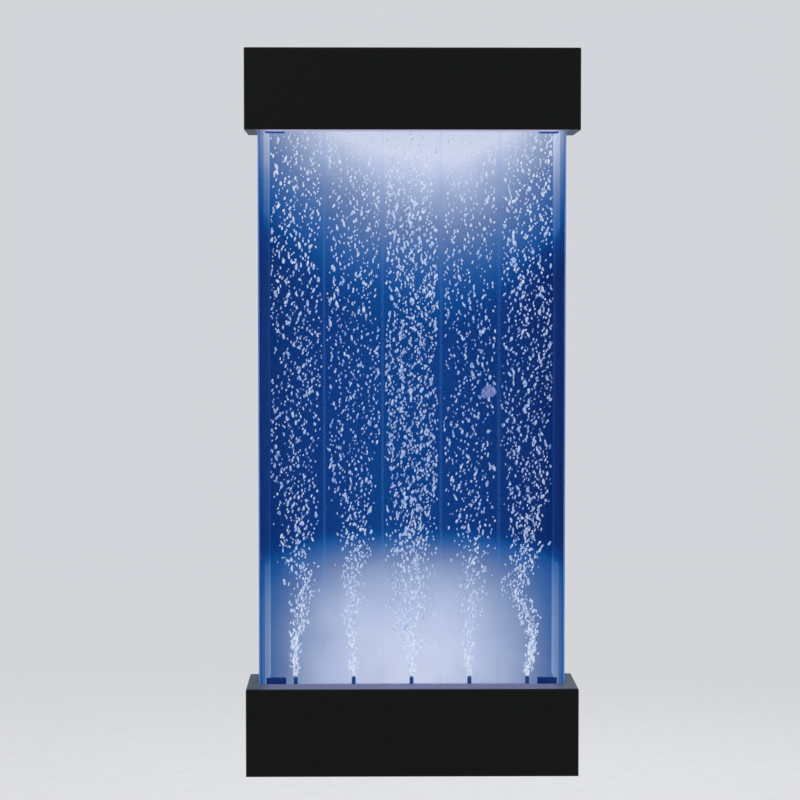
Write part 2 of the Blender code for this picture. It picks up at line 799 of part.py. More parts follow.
def base_shell():
    low = (-HALF, FRONT_Y, 0)
    high = (HALF, -WALL_AIR, BASE_HEIGHT)
    shell = open_box("base_shell", low, high, [(0, 0, -1), (0, 1, 0)], POWDER_BLACK)
    slot_half = TANK_HALF + SLOT_CLEARANCE
    slot_low = (-slot_half, TANK_FRONT_Y - SLOT_CLEARANCE, BASE_HEIGHT - SHEET - OVERRUN)
    slot_high = (slot_half, OVERRUN, BASE_HEIGHT + OVERRUN)
    cut(shell, helper_block(slot_low, slot_high))
    y, z = -SWITCH_SETBACK, PAN_UNDER_Z + SWITCH_RISE
    half_width = SWITCH_WIDTH / 2 + GAP
    half_length = SWITCH_LENGTH / 2 + GAP
    hole_low = (HALF - SHEET - OVERRUN, y - half_width, z - half_length)
    hole_high = (HALF + OVERRUN, y + half_width, z + half_length)
    cut(shell, helper_block(hole_low, hole_high))


def base_pan():
    """The floor of the base, folded up in front, at the sides and, behind, as a rear wall."""
    wall_half = TANK_HALF - SHELF_SHEET - PAN_WALL_MARGIN
    outline = [
        (-SHELL_INNER, PAN_WALL_REAR_Y),
        (-wall_half, PAN_WALL_REAR_Y),
        (wall_half, PAN_WALL_REAR_Y),
        (SHELL_INNER, PAN_WALL_REAR_Y),
        (SHELL_INNER, SHELL_INNER_FRONT_Y),
        (-SHELL_INNER, SHELL_INNER_FRONT_Y),
    ]
    rear_rise = SHELF_UNDER_Z - GAP - PAN_UNDER_Z
    walls = [(3, 3, PAN_FLANGE), (1, 1, rear_rise)]
    pan = folded_plate("base_pan", outline, walls, SHEET, ZINC, (0, 0, PAN_UNDER_Z))
    for x in (*valve_places(), HOSE_PORT_X):
        cut(pan, pan_hole(x, BARB_RADIUS + BARB_CLEARANCE))
    cut(pan, pan_hole(DRAIN_X, DRAIN_PIPE_RADIUS + BARB_CLEARANCE))
    x, _, z = lead_hole_place()
    start = (x, PAN_WALL_REAR_Y + OVERRUN, z)
    end = (x, PAN_WALL_FRONT_Y - OVERRUN, z)
    cut(pan, helper_rod(start, end, LEAD_HOLE_RADIUS))
    half_width = INLET_WIDTH / 2 + GAP
    half_height = INLET_HEIGHT / 2 + GAP
    low = (INLET_X - half_width, PAN_WALL_FRONT_Y - OVERRUN, INLET_Z - half_height)
    high = (INLET_X + half_width, PAN_WALL_REAR_Y + OVERRUN, INLET_Z + half_height)
    cut(pan, helper_block(low, high))


def pan_hole(x, radius):
    start = (x, WATER_MID_Y, PAN_UNDER_Z - OVERRUN)
    end = (x, WATER_MID_Y, PAN_TOP_Z + OVERRUN)
    return helper_rod(start, end, radius)


# Lights


def light_bridge():
    """A folded plate on the uprights that carries the hood light over the tank."""
    front = WATER_MID_Y - LIGHT_WIDTH / 2 - BRIDGE_OVERHANG
    path = [
        (FLANGE_REAR_Y, -BRIDGE_FLANGE),
        (FLANGE_REAR_Y, 0),
        (front, 0),
    ]
    place = (0, 0, BRIDGE_Z)
    folded_strip("light_bridge", path, TANK_WIDTH, "X", SHEET, POWDER_BLACK, place)


def light_channel(name, length, y, mouth, opens_up):
    """An aluminium channel whose mouth lies at a height and faces up or down."""
    half = LIGHT_WIDTH / 2
    floor = mouth - LIGHT_HEIGHT if opens_up else mouth + LIGHT_HEIGHT
    path = [(y - half, mouth), (y - half, floor), (y + half, floor), (y + half, mouth)]
    if not opens_up:
        path.reverse()
    folded_strip(name, path, length, "X", LIGHT_SHEET, ALUMINIUM, fold=False)


def light_lens(name, length, y, low_z):
    half = LIGHT_WIDTH / 2 - LIGHT_SHEET - GAP
    low = (-length / 2, y - half, low_z)
    high = (length / 2, y + half, low_z + LENS)
    block(name, low, high, OPAL, edge=PANE_EDGE)


def lights():
    base_mouth = SHELF_UNDER_Z - GAP
    y = base_light_middle_y()
    light_channel("base_light_channel", BASE_LIGHT_LENGTH, y, base_mouth, True)
    light_lens("base_light_lens", BASE_LIGHT_LENGTH, y, base_mouth - LENS_SINK - LENS)
    hood_mouth = hood_light_mouth_z()
    light_channel("hood_light_channel", HOOD_LIGHT_LENGTH, WATER_MID_Y, hood_mouth, False)
    light_lens("hood_light_lens", HOOD_LIGHT_LENGTH, WATER_MID_Y, hood_mouth + LENS_SINK)


def hood_light_mouth_z():
    return BRIDGE_Z - SHEET - GAP - LIGHT_HEIGHT


# Air


def air_manifold():
    """A bar under the pan with a barb for each airline and a bore for each lever's stem."""
    left = HOSE_PORT_X - MANIFOLD_END
    right = valve_places()[-1] + MANIFOLD_END
    half = MANIFOLD_WIDTH / 2
    low = (left, WATER_MID_Y - half, MANIFOLD_FOOT_Z)
    high = (right, WATER_MID_Y + half, MANIFOLD_TOP_Z)
    bar = block("air_manifold", low, high, LIGHT_GREY)
    for x in (*valve_places(), HOSE_PORT_X):
        start = (x, WATER_MID_Y, MANIFOLD_TOP_Z - OVERRUN)
        end = (x, WATER_MID_Y, barb_top_z())
        join(bar, helper_rod(start, end, BARB_RADIUS))
    for x in valve_places():
        start = (x, WATER_MID_Y, MANIFOLD_FOOT_Z - OVERRUN)
        end = (x, WATER_MID_Y, MANIFOLD_FOOT_Z + LEVER_STEM)
        cut(bar, helper_rod(start, end, LEVER_STEM_RADIUS + STEM_CLEARANCE))


def barb_top_z():
    return PAN_TOP_Z + BARB_RISE


def valve_lever(name, x):
    """A quarter-turn lever under the manifold, its stem in the manifold's bore."""
    hub_top = -GAP
    source = rod_mesh(LEVER_HUB_RADIUS, LEVER_HUB, (0, 0, 1))
    bmesh.ops.translate(source, vec=(0, 0, hub_top - LEVER_HUB / 2), verts=source.verts)
    place = (x, WATER_MID_Y, MANIFOLD_FOOT_Z)
    lever = new_object(name, source, LEVER_RED, place)
    foot = MANIFOLD_FOOT_Z + hub_top - LEVER_HUB
    half = LEVER_WIDTH / 2
    low = (x - half, WATER_MID_Y - LEVER_LENGTH, foot)
    high = (x + half, WATER_MID_Y, foot + LEVER_BLADE)
    join(lever, helper_block(low, high))
    start = (x, WATER_MID_Y, MANIFOLD_FOOT_Z + hub_top - LEVER_HUB / 2)
    end = (x, WATER_MID_Y, MANIFOLD_FOOT_Z + LEVER_STEM - GAP)
    join(lever, helper_rod(start, end, LEVER_STEM_RADIUS))


def airline(name, valve_x, nozzle_x):
    """A tube that leaves its barb straight up and meets its nozzle's tail straight up."""
    low = barb_top_z() + GAP
    high = FLOOR_TOP_Z - PANE - NOZZLE_TAIL - GAP
    rise = high - low - 2 * AIRLINE_STRAIGHT
    points = [Vector((valve_x, WATER_MID_Y, low))]
    for index in range(AIRLINE_POINTS + 1):
        t = index / AIRLINE_POINTS
        sweep = t * t * (3 - 2 * t)
        x = valve_x + (nozzle_x - valve_x) * sweep
        points.append(Vector((x, WATER_MID_Y, low + AIRLINE_STRAIGHT + rise * t)))
    points.append(Vector((nozzle_x, WATER_MID_Y, high)))
    tube(name, points, AIRLINE_RADIUS, SILICONE)


def pump_y():
    return SHELL_INNER_FRONT_Y + SHEET + PUMP_FRONT_MARGIN + PUMP_WIDTH / 2


def pump_foot_z():
    return PAN_SEAT_Z + PUMP_FOOT


def pump_case():
    """The pump's lower half: a tray with a valve box, a pivot post, an outlet and feet."""
    y, foot = pump_y(), pump_foot_z()
    half_x, half_y = PUMP_LENGTH / 2, PUMP_WIDTH / 2
    top = foot + PUMP_LOWER
    low = (PUMP_X - half_x, y - half_y, foot)
    high = (PUMP_X + half_x, y + half_y, top)
    case = block("pump_case", low, high, PUMP_SHELL)
    ease_uprights(case, PUMP_EDGE)
    inner_low = (PUMP_X - half_x + PUMP_WALL, y - half_y + PUMP_WALL, foot + PUMP_WALL)
    inner_high = (PUMP_X + half_x - PUMP_WALL, y + half_y - PUMP_WALL, top + OVERRUN)
    cut(case, helper_block(inner_low, inner_high))
    box_low, box_high = valve_box_corners()
    join(case, helper_block(box_low, box_high))
    pivot_x, arm_y, arm_z = arm_pivot()
    post_start = (pivot_x, arm_y, foot + PUMP_WALL / 2)
    post_end = (pivot_x, arm_y, arm_z - ARM_HEIGHT / 2 - GAP)
    join(case, helper_rod(post_start, post_end, ARM_EYE_RADIUS))
    pin_end = (pivot_x, arm_y, arm_z + ARM_HEIGHT / 2 + GAP)
    join(case, helper_rod(post_start, pin_end, PIVOT_RADIUS))
    port_start = (PUMP_X + half_x - PUMP_WALL / 2, pump_port()[1], pump_port()[2])
    join(case, helper_rod(port_start, pump_port(), PORT_RADIUS))
    for side_x in (-1, 1):
        for side_y in (-1, 1):
            x = PUMP_X + side_x * (half_x - PUMP_FOOT_INSET)
            foot_y = y + side_y * (half_y - PUMP_FOOT_INSET)
            start = (x, foot_y, foot - PUMP_FOOT)
            end = (x, foot_y, foot + PUMP_WALL / 2)
            join(case, helper_rod(start, end, PUMP_FOOT_RADIUS))


def ease_uprights(target, width):
    """Round the four upright edges of a box."""
    weights = target.data.attributes.new("bevel_weight_edge", "FLOAT", "EDGE")
    for edge in target.data.edges:
        first, second = (target.data.vertices[index].co for index in edge.vertices)
        run = second - first
        weights.data[edge.index].value = 1.0 if abs(run.z) > abs(run.x) + abs(run.y) else 0.0
    bevel = target.modifiers.new("round", "BEVEL")
    bevel.width = width
    bevel.segments = EDGE_SEGMENTS
    bevel.limit_method = "WEIGHT"


def pump_port():
    """The outer end of the pump's outlet."""
    x = PUMP_X + PUMP_LENGTH / 2 + PORT_LENGTH
    return (x, pump_y(), pump_foot_z() + PUMP_LOWER / 2)


def arm_pivot():
    x = PUMP_X - PUMP_LENGTH / 2 + PUMP_WALL + ARM_PIVOT_INSET
    y = pump_y() - PUMP_WIDTH / 2 + PUMP_WALL + ARM_WALL_AIR + MAGNET_DEPTH / 2
    z = pump_foot_z() + PUMP_LOWER - ARM_HEIGHT
    return (x, y, z)


def diaphragm_place():
    """Where the diaphragm's rim sits on the valve box, and where its nose ends."""
    _, arm_y, z = arm_pivot()
    box_low, box_high = valve_box_corners()
    x = (box_low[0] + box_high[0]) / 2
    return (x, box_low[1] - GAP, z), arm_y + ARM_THICKNESS / 2 + DIAPHRAGM_RUN


def valve_box_corners():
    y = pump_y()
    rear = y + PUMP_WIDTH / 2 - PUMP_WALL / 2
    front = rear - VALVE_BOX_DEPTH
    left = PUMP_X - PUMP_LENGTH / 2 + PUMP_WALL + VALVE_BOX
    foot = pump_foot_z() + PUMP_WALL / 2
    top = pump_foot_z() + PUMP_LOWER - GAP
    return (left, front, foot), (left + VALVE_BOX, rear, top)


def pump_cover():
    y = pump_y()
    half_x, half_y = PUMP_LENGTH / 2, PUMP_WIDTH / 2
    foot = pump_foot_z() + PUMP_LOWER + GAP
    top = foot + PUMP_UPPER
    low = (PUMP_X - half_x, y - half_y, foot)
    high = (PUMP_X + half_x, y + half_y, top)
    cover = block("pump_cover", low, high, PUMP_SHELL)
    ease_uprights(cover, PUMP_EDGE)
    inner_low = (PUMP_X - half_x + PUMP_WALL, y - half_y + PUMP_WALL, foot - OVERRUN)
    inner_high = (PUMP_X + half_x - PUMP_WALL, y + half_y - PUMP_WALL, top - PUMP_WALL)
    cut(cover, helper_block(inner_low, inner_high))


def pump_arm():
    """A flat arm that swings on the pin, with a magnet at its free end."""
    x, y, z = arm_pivot()
    half = ARM_HEIGHT / 2
    eye = rod_mesh(ARM_EYE_RADIUS, ARM_HEIGHT, (0, 0, 1))
    arm = new_object("pump_arm", eye, MAGNET_STEEL, (x, y, z))
    low = (x, y - ARM_THICKNESS / 2, z - half)
    high = (x + ARM_LENGTH, y + ARM_THICKNESS / 2, z + half)
    join(arm, helper_block(low, high))
    magnet_low = (x + ARM_LENGTH - MAGNET_LENGTH, y - MAGNET_DEPTH / 2, z - MAGNET_HEIGHT / 2)
    magnet_high = (x + ARM_LENGTH + GAP, y + MAGNET_DEPTH / 2, z + MAGNET_HEIGHT / 2)
    join(arm, helper_block(magnet_low, magnet_high))
    bore = helper_rod((x, y, z - ARM_HEIGHT), (x, y, z + ARM_HEIGHT), PIVOT_RADIUS + STEM_CLEARANCE)
    cut(arm, bore)


def pump_coil():
    """The winding on its bobbin, facing the magnet."""
    x, y, z = arm_pivot()
    x += ARM_LENGTH - MAGNET_LENGTH / 2
    front = y + MAGNET_DEPTH / 2 + MAGNET_AIR
    half_x, half_z = COIL_LENGTH / 2, COIL_HEIGHT / 2
    foot = pump_foot_z() + PUMP_WALL + GAP
    low = (x - half_x, front + COIL_FLANGE / 2, z - half_z)
    high = (x + half_x, front + COIL_DEPTH - COIL_FLANGE / 2, z + half_z)
    coil = block("pump_coil", low, high, COPPER)
    reach_x = half_x + COIL_FLANGE_REACH
    top = z + half_z + COIL_FLANGE_REACH
    for flange in (front, front + COIL_DEPTH - COIL_FLANGE):
        flange_low = (x - reach_x, flange, foot)
        flange_high = (x + reach_x, flange + COIL_FLANGE, top)
        join(coil, helper_block(flange_low, flange_high))


def pump_diaphragm():
    """A rubber cup between the valve box and the arm, turned about Y."""
    (x, seat_y, z), nose_y = diaphragm_place()
    length = seat_y - nose_y
    profile = [
        (0, length),
        (DIAPHRAGM_NOSE_RADIUS, length),
        (DIAPHRAGM_NOSE_RADIUS, length - DIAPHRAGM_RIM),
        (DIAPHRAGM_RADIUS, DIAPHRAGM_RIM),
        (DIAPHRAGM_RADIUS, 0),
        (0, 0),
    ]
    source = bmesh.new()
    ring = [source.verts.new((radius, 0, height)) for radius, height in profile]
    for first, second in zip(ring, ring[1:]):
        source.edges.new((first, second))
    cup = new_object("pump_diaphragm", source, RUBBER, (x, seat_y, z))
    cup.rotation_euler = (math.pi / 2, 0, 0)
    screw = cup.modifiers.new("turn", "SCREW")
    screw.steps = ROUND_STEPS
    screw.render_steps = ROUND_STEPS
    screw.use_merge_vertices = True
    screw.merge_threshold = TINY_MERGE


def pump_hose():
    port = Vector(pump_port())
    start = port + Vector((GAP, 0, 0))
    end = Vector((HOSE_PORT_X, WATER_MID_Y, barb_top_z() + GAP))
    start_pull = start + Vector((HOSE_REACH, 0, 0))
    end_pull = end + Vector((0, 0, HOSE_DROP_REACH))
    tube("pump_hose", bezier_points(start, start_pull, end_pull, end, HOSE_POINTS),
         HOSE_RADIUS, SILICONE)


# Electrical fittings


def driver_corners():
    front = SHELL_INNER_FRONT_Y + SHEET + DRIVER_FRONT_MARGIN
    low = (DRIVER_X - DRIVER_LENGTH / 2, front, PAN_SEAT_Z)
    high = (DRIVER_X + DRIVER_LENGTH / 2, front + DRIVER_WIDTH, PAN_SEAT_Z + DRIVER_HEIGHT)
    return low, high


def light_driver():
    low, high = driver_corners()
    box = block("light_driver", low, high, WHITE_ABS)
    ease_uprights(box, DRIVER_EDGE)
    tab_low = (low[0] - DRIVER_TAB, low[1] + DRIVER_TAB, low[2])
    tab_high = (high[0] + DRIVER_TAB, high[1] - DRIVER_TAB, low[2] + DRIVER_TAB_SHEET)
    join(box, helper_block(tab_low, tab_high))
    gland_start = (high[0] - DRIVER_EDGE, (low[1] + high[1]) / 2, gland_z())
    gland_end = (high[0] + GLAND, gland_start[1], gland_z())
    join(box, helper_rod(gland_start, gland_end, GLAND_RADIUS))


def gland_z():
    return PAN_SEAT_Z + DRIVER_HEIGHT / 2


def lead_hole_place():
    """Middle of the hole in the pan's rear wall that lets the lead through."""
    x = TANK_HALF - UPRIGHT_WIDTH - LEAD_HOLE_INSET
    y = (PAN_WALL_REAR_Y + PAN_WALL_FRONT_Y) / 2
    return (x, y, PAN_UNDER_Z + LEAD_HOLE_RISE)


def light_lead():
    """The lead from the driver through the pan's rear wall, up the right upright to the hood."""
    low, high = driver_corners()
    gland = (high[0] + GLAND + GAP, (low[1] + high[1]) / 2, gland_z())
    hole = Vector(lead_hole_place())
    upright_x = TANK_HALF - UPRIGHT_WIDTH / 2
    upright_y = UPRIGHT_FRONT_Y + UPRIGHT_SHEET + GAP + LEAD_RADIUS
    exit_x = TANK_HALF - UPRIGHT_WIDTH - GLAND
    over_z = TANK_TOP_Z + BACK_PANEL_RISE + GLAND
    light_end = HOOD_LIGHT_LENGTH / 2
    light_z = BRIDGE_Z - SHEET - GAP - LIGHT_SHEET - LEAD_RADIUS - GAP
    corners = [
        gland,
        (gland[0] + GLAND, gland[1], gland_z()),
        (hole.x, hole.y - LIGHT_WIDTH, hole.z),
        hole,
        (hole.x, upright_y, hole.z + LEAD_HOLE_RADIUS),
        (upright_x, upright_y, hole.z + UPRIGHT_WIDTH + LEAD_HOLE_RISE),
        (upright_x, upright_y, over_z - UPRIGHT_WIDTH - LEAD_HOLE_RISE),
        (exit_x, upright_y, over_z),
        (exit_x, TANK_REAR_Y - PANE, over_z),
        (light_end + GLAND, WATER_REAR_Y - LIGHT_WIDTH, light_z - GLAND),
        (light_end + GLAND, WATER_MID_Y, light_z),
        (light_end - GLAND, WATER_MID_Y, light_z),
    ]
    tube("light_lead", rounded_route(corners, LEAD_BEND), LEAD_RADIUS, BLACK_NYLON)


def power_inlet():
    """A recessed inlet in the pan's rear wall, its socket facing the wall."""
    z = INLET_Z
    flange_front = PAN_WALL_REAR_Y + GAP
    flange_rear = flange_front + INLET_FLANGE
    body_front = flange_rear - INLET_DEPTH
    half_width, half_height = INLET_WIDTH / 2, INLET_HEIGHT / 2
    low = (INLET_X - INLET_FLANGE_WIDTH / 2, flange_front, z - INLET_FLANGE_HEIGHT / 2)
    high = (INLET_X + INLET_FLANGE_WIDTH / 2, flange_rear, z + INLET_FLANGE_HEIGHT / 2)
    inlet = block("power_inlet", low, high, BLACK_NYLON)
    body_low = (INLET_X - half_width, body_front, z - half_height)
    body_high = (INLET_X + half_width, flange_rear - INLET_FLANGE / 2, z + half_height)
    join(inlet, helper_block(body_low, body_high))
    well_low = (
        INLET_X - half_width + INLET_WALL,
        body_front + INLET_WALL,
        z - half_height + INLET_WALL,
    )
    well_high = (
        INLET_X + half_width - INLET_WALL,
        flange_rear + OVERRUN,
        z + half_height - INLET_WALL,
    )
    cut(inlet, helper_block(well_low, well_high))
    for index in (-1, 0, 1):
        x = INLET_X + index * INLET_PIN_PITCH
        pin_low = (x - INLET_PIN_WIDTH / 2, body_front + INLET_WALL / 2, z - INLET_PIN_HEIGHT / 2)
        pin_high = (x + INLET_PIN_WIDTH / 2, flange_front, z + INLET_PIN_HEIGHT / 2)
        join(inlet, helper_block(pin_low, pin_high))


def switch_body():
    """A rocker switch's housing in the base's right side, with a well for the rocker."""
    y, z = -SWITCH_SETBACK, PAN_UNDER_Z + SWITCH_RISE
    half_width, half_length = SWITCH_WIDTH / 2, SWITCH_LENGTH / 2
    reach_y, reach_z = half_width + SWITCH_BEZEL_REACH, half_length + SWITCH_BEZEL_REACH
    low = (HALF + GAP, y - reach_y, z - reach_z)
    high = (HALF + GAP + SWITCH_BEZEL, y + reach_y, z + reach_z)
    body = block("switch_body", low, high, BLACK_NYLON)
    box_low = (HALF - SWITCH_DEPTH, y - half_width, z - half_length)
    box_high = (HALF + GAP + SWITCH_BEZEL / 2, y + half_width, z + half_length)
    join(body, helper_block(box_low, box_high))
    well_low = (
        HALF - SWITCH_DEPTH + SWITCH_WALL,
        y - half_width + SWITCH_WALL,
        z - half_length + SWITCH_WALL,
    )
    well_high = (
        HALF + SWITCH_BEZEL + OVERRUN,
        y + half_width - SWITCH_WALL,
        z + half_length - SWITCH_WALL,
    )
    cut(body, helper_block(well_low, well_high))


def rocker_place():
    return (HALF, -SWITCH_SETBACK, PAN_UNDER_Z + SWITCH_RISE)


def switch_rocker():
    """A rocker with a shallow vee face, tilted to its on side about its own axis along Y."""
    half_length = SWITCH_LENGTH / 2 - SWITCH_WALL - ROCKER_CLEARANCE
    width = SWITCH_WIDTH - 2 * (SWITCH_WALL + ROCKER_CLEARANCE)
    swing = half_length * math.sin(ROCKER_TILT)
    ledge = half_length * math.cos(ROCKER_TILT)
    crown = SWITCH_BEZEL + ROCKER_STAND
    keel = -(SWITCH_DEPTH - SWITCH_WALL - ROCKER_CLEARANCE - GAP)
    outline = [
        (-swing, -ledge),
        (crown, -ledge),
        (crown - swing, 0),
        (crown, ledge),
        (-swing, ledge),
        (keel, 0),
    ]
    source = bmesh.new()
    rim = [source.verts.new((x, -width / 2, z)) for x, z in outline]
    side = source.faces.new(rim)
    swept = bmesh.ops.extrude_face_region(source, geom=[side])["geom"]
    moved = [item for item in swept if isinstance(item, bmesh.types.BMVert)]
    bmesh.ops.translate(source, vec=(0, width, 0), verts=moved)
    bmesh.ops.recalc_face_normals(source, faces=source.faces)
    rocker = new_object("switch_rocker", source, BLACK_NYLON, rocker_place())
    rocker.rotation_euler = (0, ROCKER_TILT, 0)


# Drain


def drain_middle_z():
    return PAN_UNDER_Z - GAP - DRAIN_BODY_HEIGHT / 2


def drain_valve():
    """A ball valve under the pan, with its pipe up to the tank floor and a spout below."""
    y, half = WATER_MID_Y, DRAIN_BODY / 2
    top = PAN_UNDER_Z - GAP
    foot = top - DRAIN_BODY_HEIGHT
    low = (DRAIN_X - half, y - half, foot)
    high = (DRAIN_X + half, y + half, top)
    valve = block("drain_valve", low, high, LIGHT_GREY)
    pipe_start = (DRAIN_X, y, top - OVERRUN)
    pipe_end = (DRAIN_X, y, TANK_BOTTOM_Z - GAP)
    join(valve, helper_rod(pipe_start, pipe_end, DRAIN_PIPE_RADIUS))
    spout_start = (DRAIN_X, y, foot - DRAIN_SPOUT)
    spout_end = (DRAIN_X, y, foot + OVERRUN)
    join(valve, helper_rod(spout_start, spout_end, DRAIN_PIPE_RADIUS))
    middle = drain_middle_z()
    boss_start = (DRAIN_X, y - half - DRAIN_BOSS, middle)
    boss_end = (DRAIN_X, y - half + OVERRUN, middle)
    join(valve, helper_rod(boss_start, boss_end, DRAIN_BOSS_RADIUS))
    pin_start = (DRAIN_X, y - half - DRAIN_BOSS - DRAIN_PIN, middle)
    join(valve, helper_rod(pin_start, boss_end, DRAIN_PIN_RADIUS))
    well_start = (DRAIN_X, y, top)
    well_end = (DRAIN_X, y, TANK_BOTTOM_Z + OVERRUN)
    cut(valve, helper_rod(well_start, well_end, DRAIN_BORE_RADIUS))
    mouth_start = (DRAIN_X, y, foot - DRAIN_SPOUT - OVERRUN)
    cut(valve, helper_rod(mouth_start, spout_end, DRAIN_BORE_RADIUS))


def drain_lever_place():
    y = WATER_MID_Y - DRAIN_BODY / 2 - DRAIN_BOSS - GAP - DRAIN_HUB / 2
    return (DRAIN_X, y, drain_middle_z())


def drain_lever():
    """A lever across the valve when shut, and along its pipe when open."""
    x, y, z = drain_lever_place()
    source = rod_mesh(DRAIN_HUB_RADIUS, DRAIN_HUB, (0, 1, 0))
    lever = new_object("drain_lever", source, LEVER_RED, (x, y, z))
    half = DRAIN_LEVER_WIDTH / 2
    low = (x, y - DRAIN_LEVER_BLADE / 2, z - half)
    high = (x + DRAIN_LEVER_LENGTH, y + DRAIN_LEVER_BLADE / 2, z + half)
    join(lever, helper_block(low, high))
    bore = helper_rod((x, y - DRAIN_HUB, z), (x, y + DRAIN_HUB, z), DRAIN_PIN_RADIUS + STEM_CLEARANCE)
    cut(lever, bore)


def build():
    wall_rail()
    hang_rail()
    upright("upright_left", -1)
    upright("upright_right", 1)
    spacer_bar()
    tank_shelf()
    tank_gasket()
    tank_panes()
    tank_side("tank_side_left", -1)
    tank_side("tank_side_right", 1)
    tank_floor()
    for number, x in enumerate(divider_places(), start=1):
        divider(f"divider_{number}", x)
    for word, foot in (("lower", FLOOR_TOP_Z + GAP), ("upper", UPPER_BLOCK_FOOT_Z)):
        corner_block(f"{word}_block_left", -1, foot)
        corner_block(f"{word}_block_right", 1, foot)
    for number, x in enumerate(channel_places(), start=1):
        air_nozzle(f"air_nozzle_{number}", x)
    back_panel()
    hood_shell()
    hood_underside()
    base_shell()
    base_pan()
    light_bridge()
    lights()
    air_manifold()
    pairs = zip(valve_places(), channel_places())
    for number, (valve_x, nozzle_x) in enumerate(pairs, start=1):
        valve_lever(f"air_valve_lever_{number}", valve_x)
        airline(f"airline_{number}", valve_x, nozzle_x)
    pump_case()
    pump_cover()
    pump_arm()
    pump_coil()
    pump_diaphragm()
    pump_hose()
    light_driver()
    light_lead()
    power_inlet()
    switch_body()
    switch_rocker()
    drain_valve()
    drain_lever()


build()
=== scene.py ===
"""Looks of a wall-hung bubble panel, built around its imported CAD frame.

Metres, +Z up, front towards -Y. The origin is the middle of the wall rail's rear face.
"""

import logging
import math
import random
from dataclasses import dataclass
from enum import Enum
from typing import Any, Iterable, Sequence

import bmesh
import bpy
from mathutils import Matrix, Vector


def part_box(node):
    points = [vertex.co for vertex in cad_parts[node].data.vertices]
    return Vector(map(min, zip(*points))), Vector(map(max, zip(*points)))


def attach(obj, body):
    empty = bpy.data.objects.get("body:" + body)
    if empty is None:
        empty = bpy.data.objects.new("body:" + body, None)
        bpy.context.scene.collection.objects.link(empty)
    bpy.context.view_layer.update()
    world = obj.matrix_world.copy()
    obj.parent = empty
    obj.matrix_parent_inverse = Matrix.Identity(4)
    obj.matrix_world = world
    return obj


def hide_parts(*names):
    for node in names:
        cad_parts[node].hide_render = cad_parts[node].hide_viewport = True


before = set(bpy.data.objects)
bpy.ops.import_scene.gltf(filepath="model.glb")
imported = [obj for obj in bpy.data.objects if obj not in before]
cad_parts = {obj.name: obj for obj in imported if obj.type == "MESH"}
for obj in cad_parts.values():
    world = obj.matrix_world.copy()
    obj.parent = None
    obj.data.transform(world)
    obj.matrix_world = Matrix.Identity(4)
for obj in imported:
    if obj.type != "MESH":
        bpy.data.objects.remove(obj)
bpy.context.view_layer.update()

LOG = logging.getLogger("bubble_panel")
MM = 0.001
UP, DOWN = Vector((0, 0, 1)), Vector((0, 0, -1))
FRONTWARDS, REARWARDS = Vector((0, -1, 0)), Vector((0, 1, 0))
SIDES = (-1, 1)
CHANNELS = range(1, 6)
Socket = bpy.types.NodeSocket
Shape = bmesh.types.BMesh
Point = Sequence[float]


class Body(Enum):
    """Bodies of the CAD model that new pieces ride on."""

    RAIL = "rail"
    PANEL = "panel"
    DRAIN_HANDLE = "drain_handle"
    AIR_VALVE_1 = "air_valve_1"
    AIR_VALVE_2 = "air_valve_2"
    AIR_VALVE_3 = "air_valve_3"
    AIR_VALVE_4 = "air_valve_4"
    AIR_VALVE_5 = "air_valve_5"


class Slot(Enum):
    """The record's material slots, which the finishes name."""

    POWDER_BLACK = "powder_black"
    ZINC = "zinc"
    RUBBER_BLACK = "rubber_black"
    ACRYLIC_CLEAR = "acrylic_clear"
    OPAL = "opal"
    NYLON_GREY = "nylon_grey"
    NYLON_BLACK = "nylon_black"
    SILICONE = "silicone"
    ABS_WHITE = "abs_white"
    SPRING_STEEL = "spring_steel"
    COPPER = "copper"


def linear(hex_colour: str) -> tuple[float, float, float, float]:
    """Turn an sRGB hex colour into linear light.

    Args:
        hex_colour: a colour such as "#1a2b3c".

    Returns:
        Red, green, blue and an alpha of 1.
    """
    shares = [int(hex_colour[at : at + 2], 16) / 255 for at in (1, 3, 5)]
    light = [s / 12.92 if s <= 0.04045 else ((s + 0.055) / 1.055) ** 2.4 for s in shares]
    return (light[0], light[1], light[2], 1.0)


BLACK = linear("#000000")


@dataclass
class Nodes:
    """The nodes of a material or world while it is made."""

    tree: bpy.types.NodeTree
    shader: bpy.types.Node | None = None
    point: Socket | None = None

    def feed(self, node: bpy.types.Node, inputs: dict[str | int, Any]) -> None:
        """Set a node's inputs.

        Args:
            node: the node.
            inputs: for each input, a value or the output that feeds it.
        """
        for name, value in inputs.items():
            if isinstance(value, Socket):
                self.tree.links.new(value, node.inputs[name])
            else:
                node.inputs[name].default_value = value

    def add(
        self,
        kind: str,
        inputs: dict[str | int, Any] | None = None,
        give: str | int = 0,
        stops: Sequence[tuple[float, str]] = (),
        **settings: Any,
    ) -> Socket:
        """Add a node with its settings and links.

        Args:
            kind: the node's type name, without its "ShaderNode".
            inputs: for each input, a value or the output that feeds it.
            give: which output to return.
            stops: places and hex colours of a colour ramp.
            settings: the node's own properties.

        Returns:
            That output of the new node.
        """
        made = self.tree.nodes.new("ShaderNode" + kind)
        for name, value in settings.items():
            setattr(made, name, value)
        self.feed(made, inputs or {})
        if stops:
            elements = made.color_ramp.elements
            while len(elements) < len(stops):
                elements.new(1.0)
            for element, (place, hex_colour) in zip(elements, stops):
                element.position = place
                element.color = linear(hex_colour)
        return made.outputs[give]

    def aside(self) -> Socket:
        """Return how far a point lies from the panel's middle, to either side."""
        across = self.add("SeparateXYZ", {0: self.point})
        return self.add("Math", {0: across}, operation="ABSOLUTE")


# Finishes


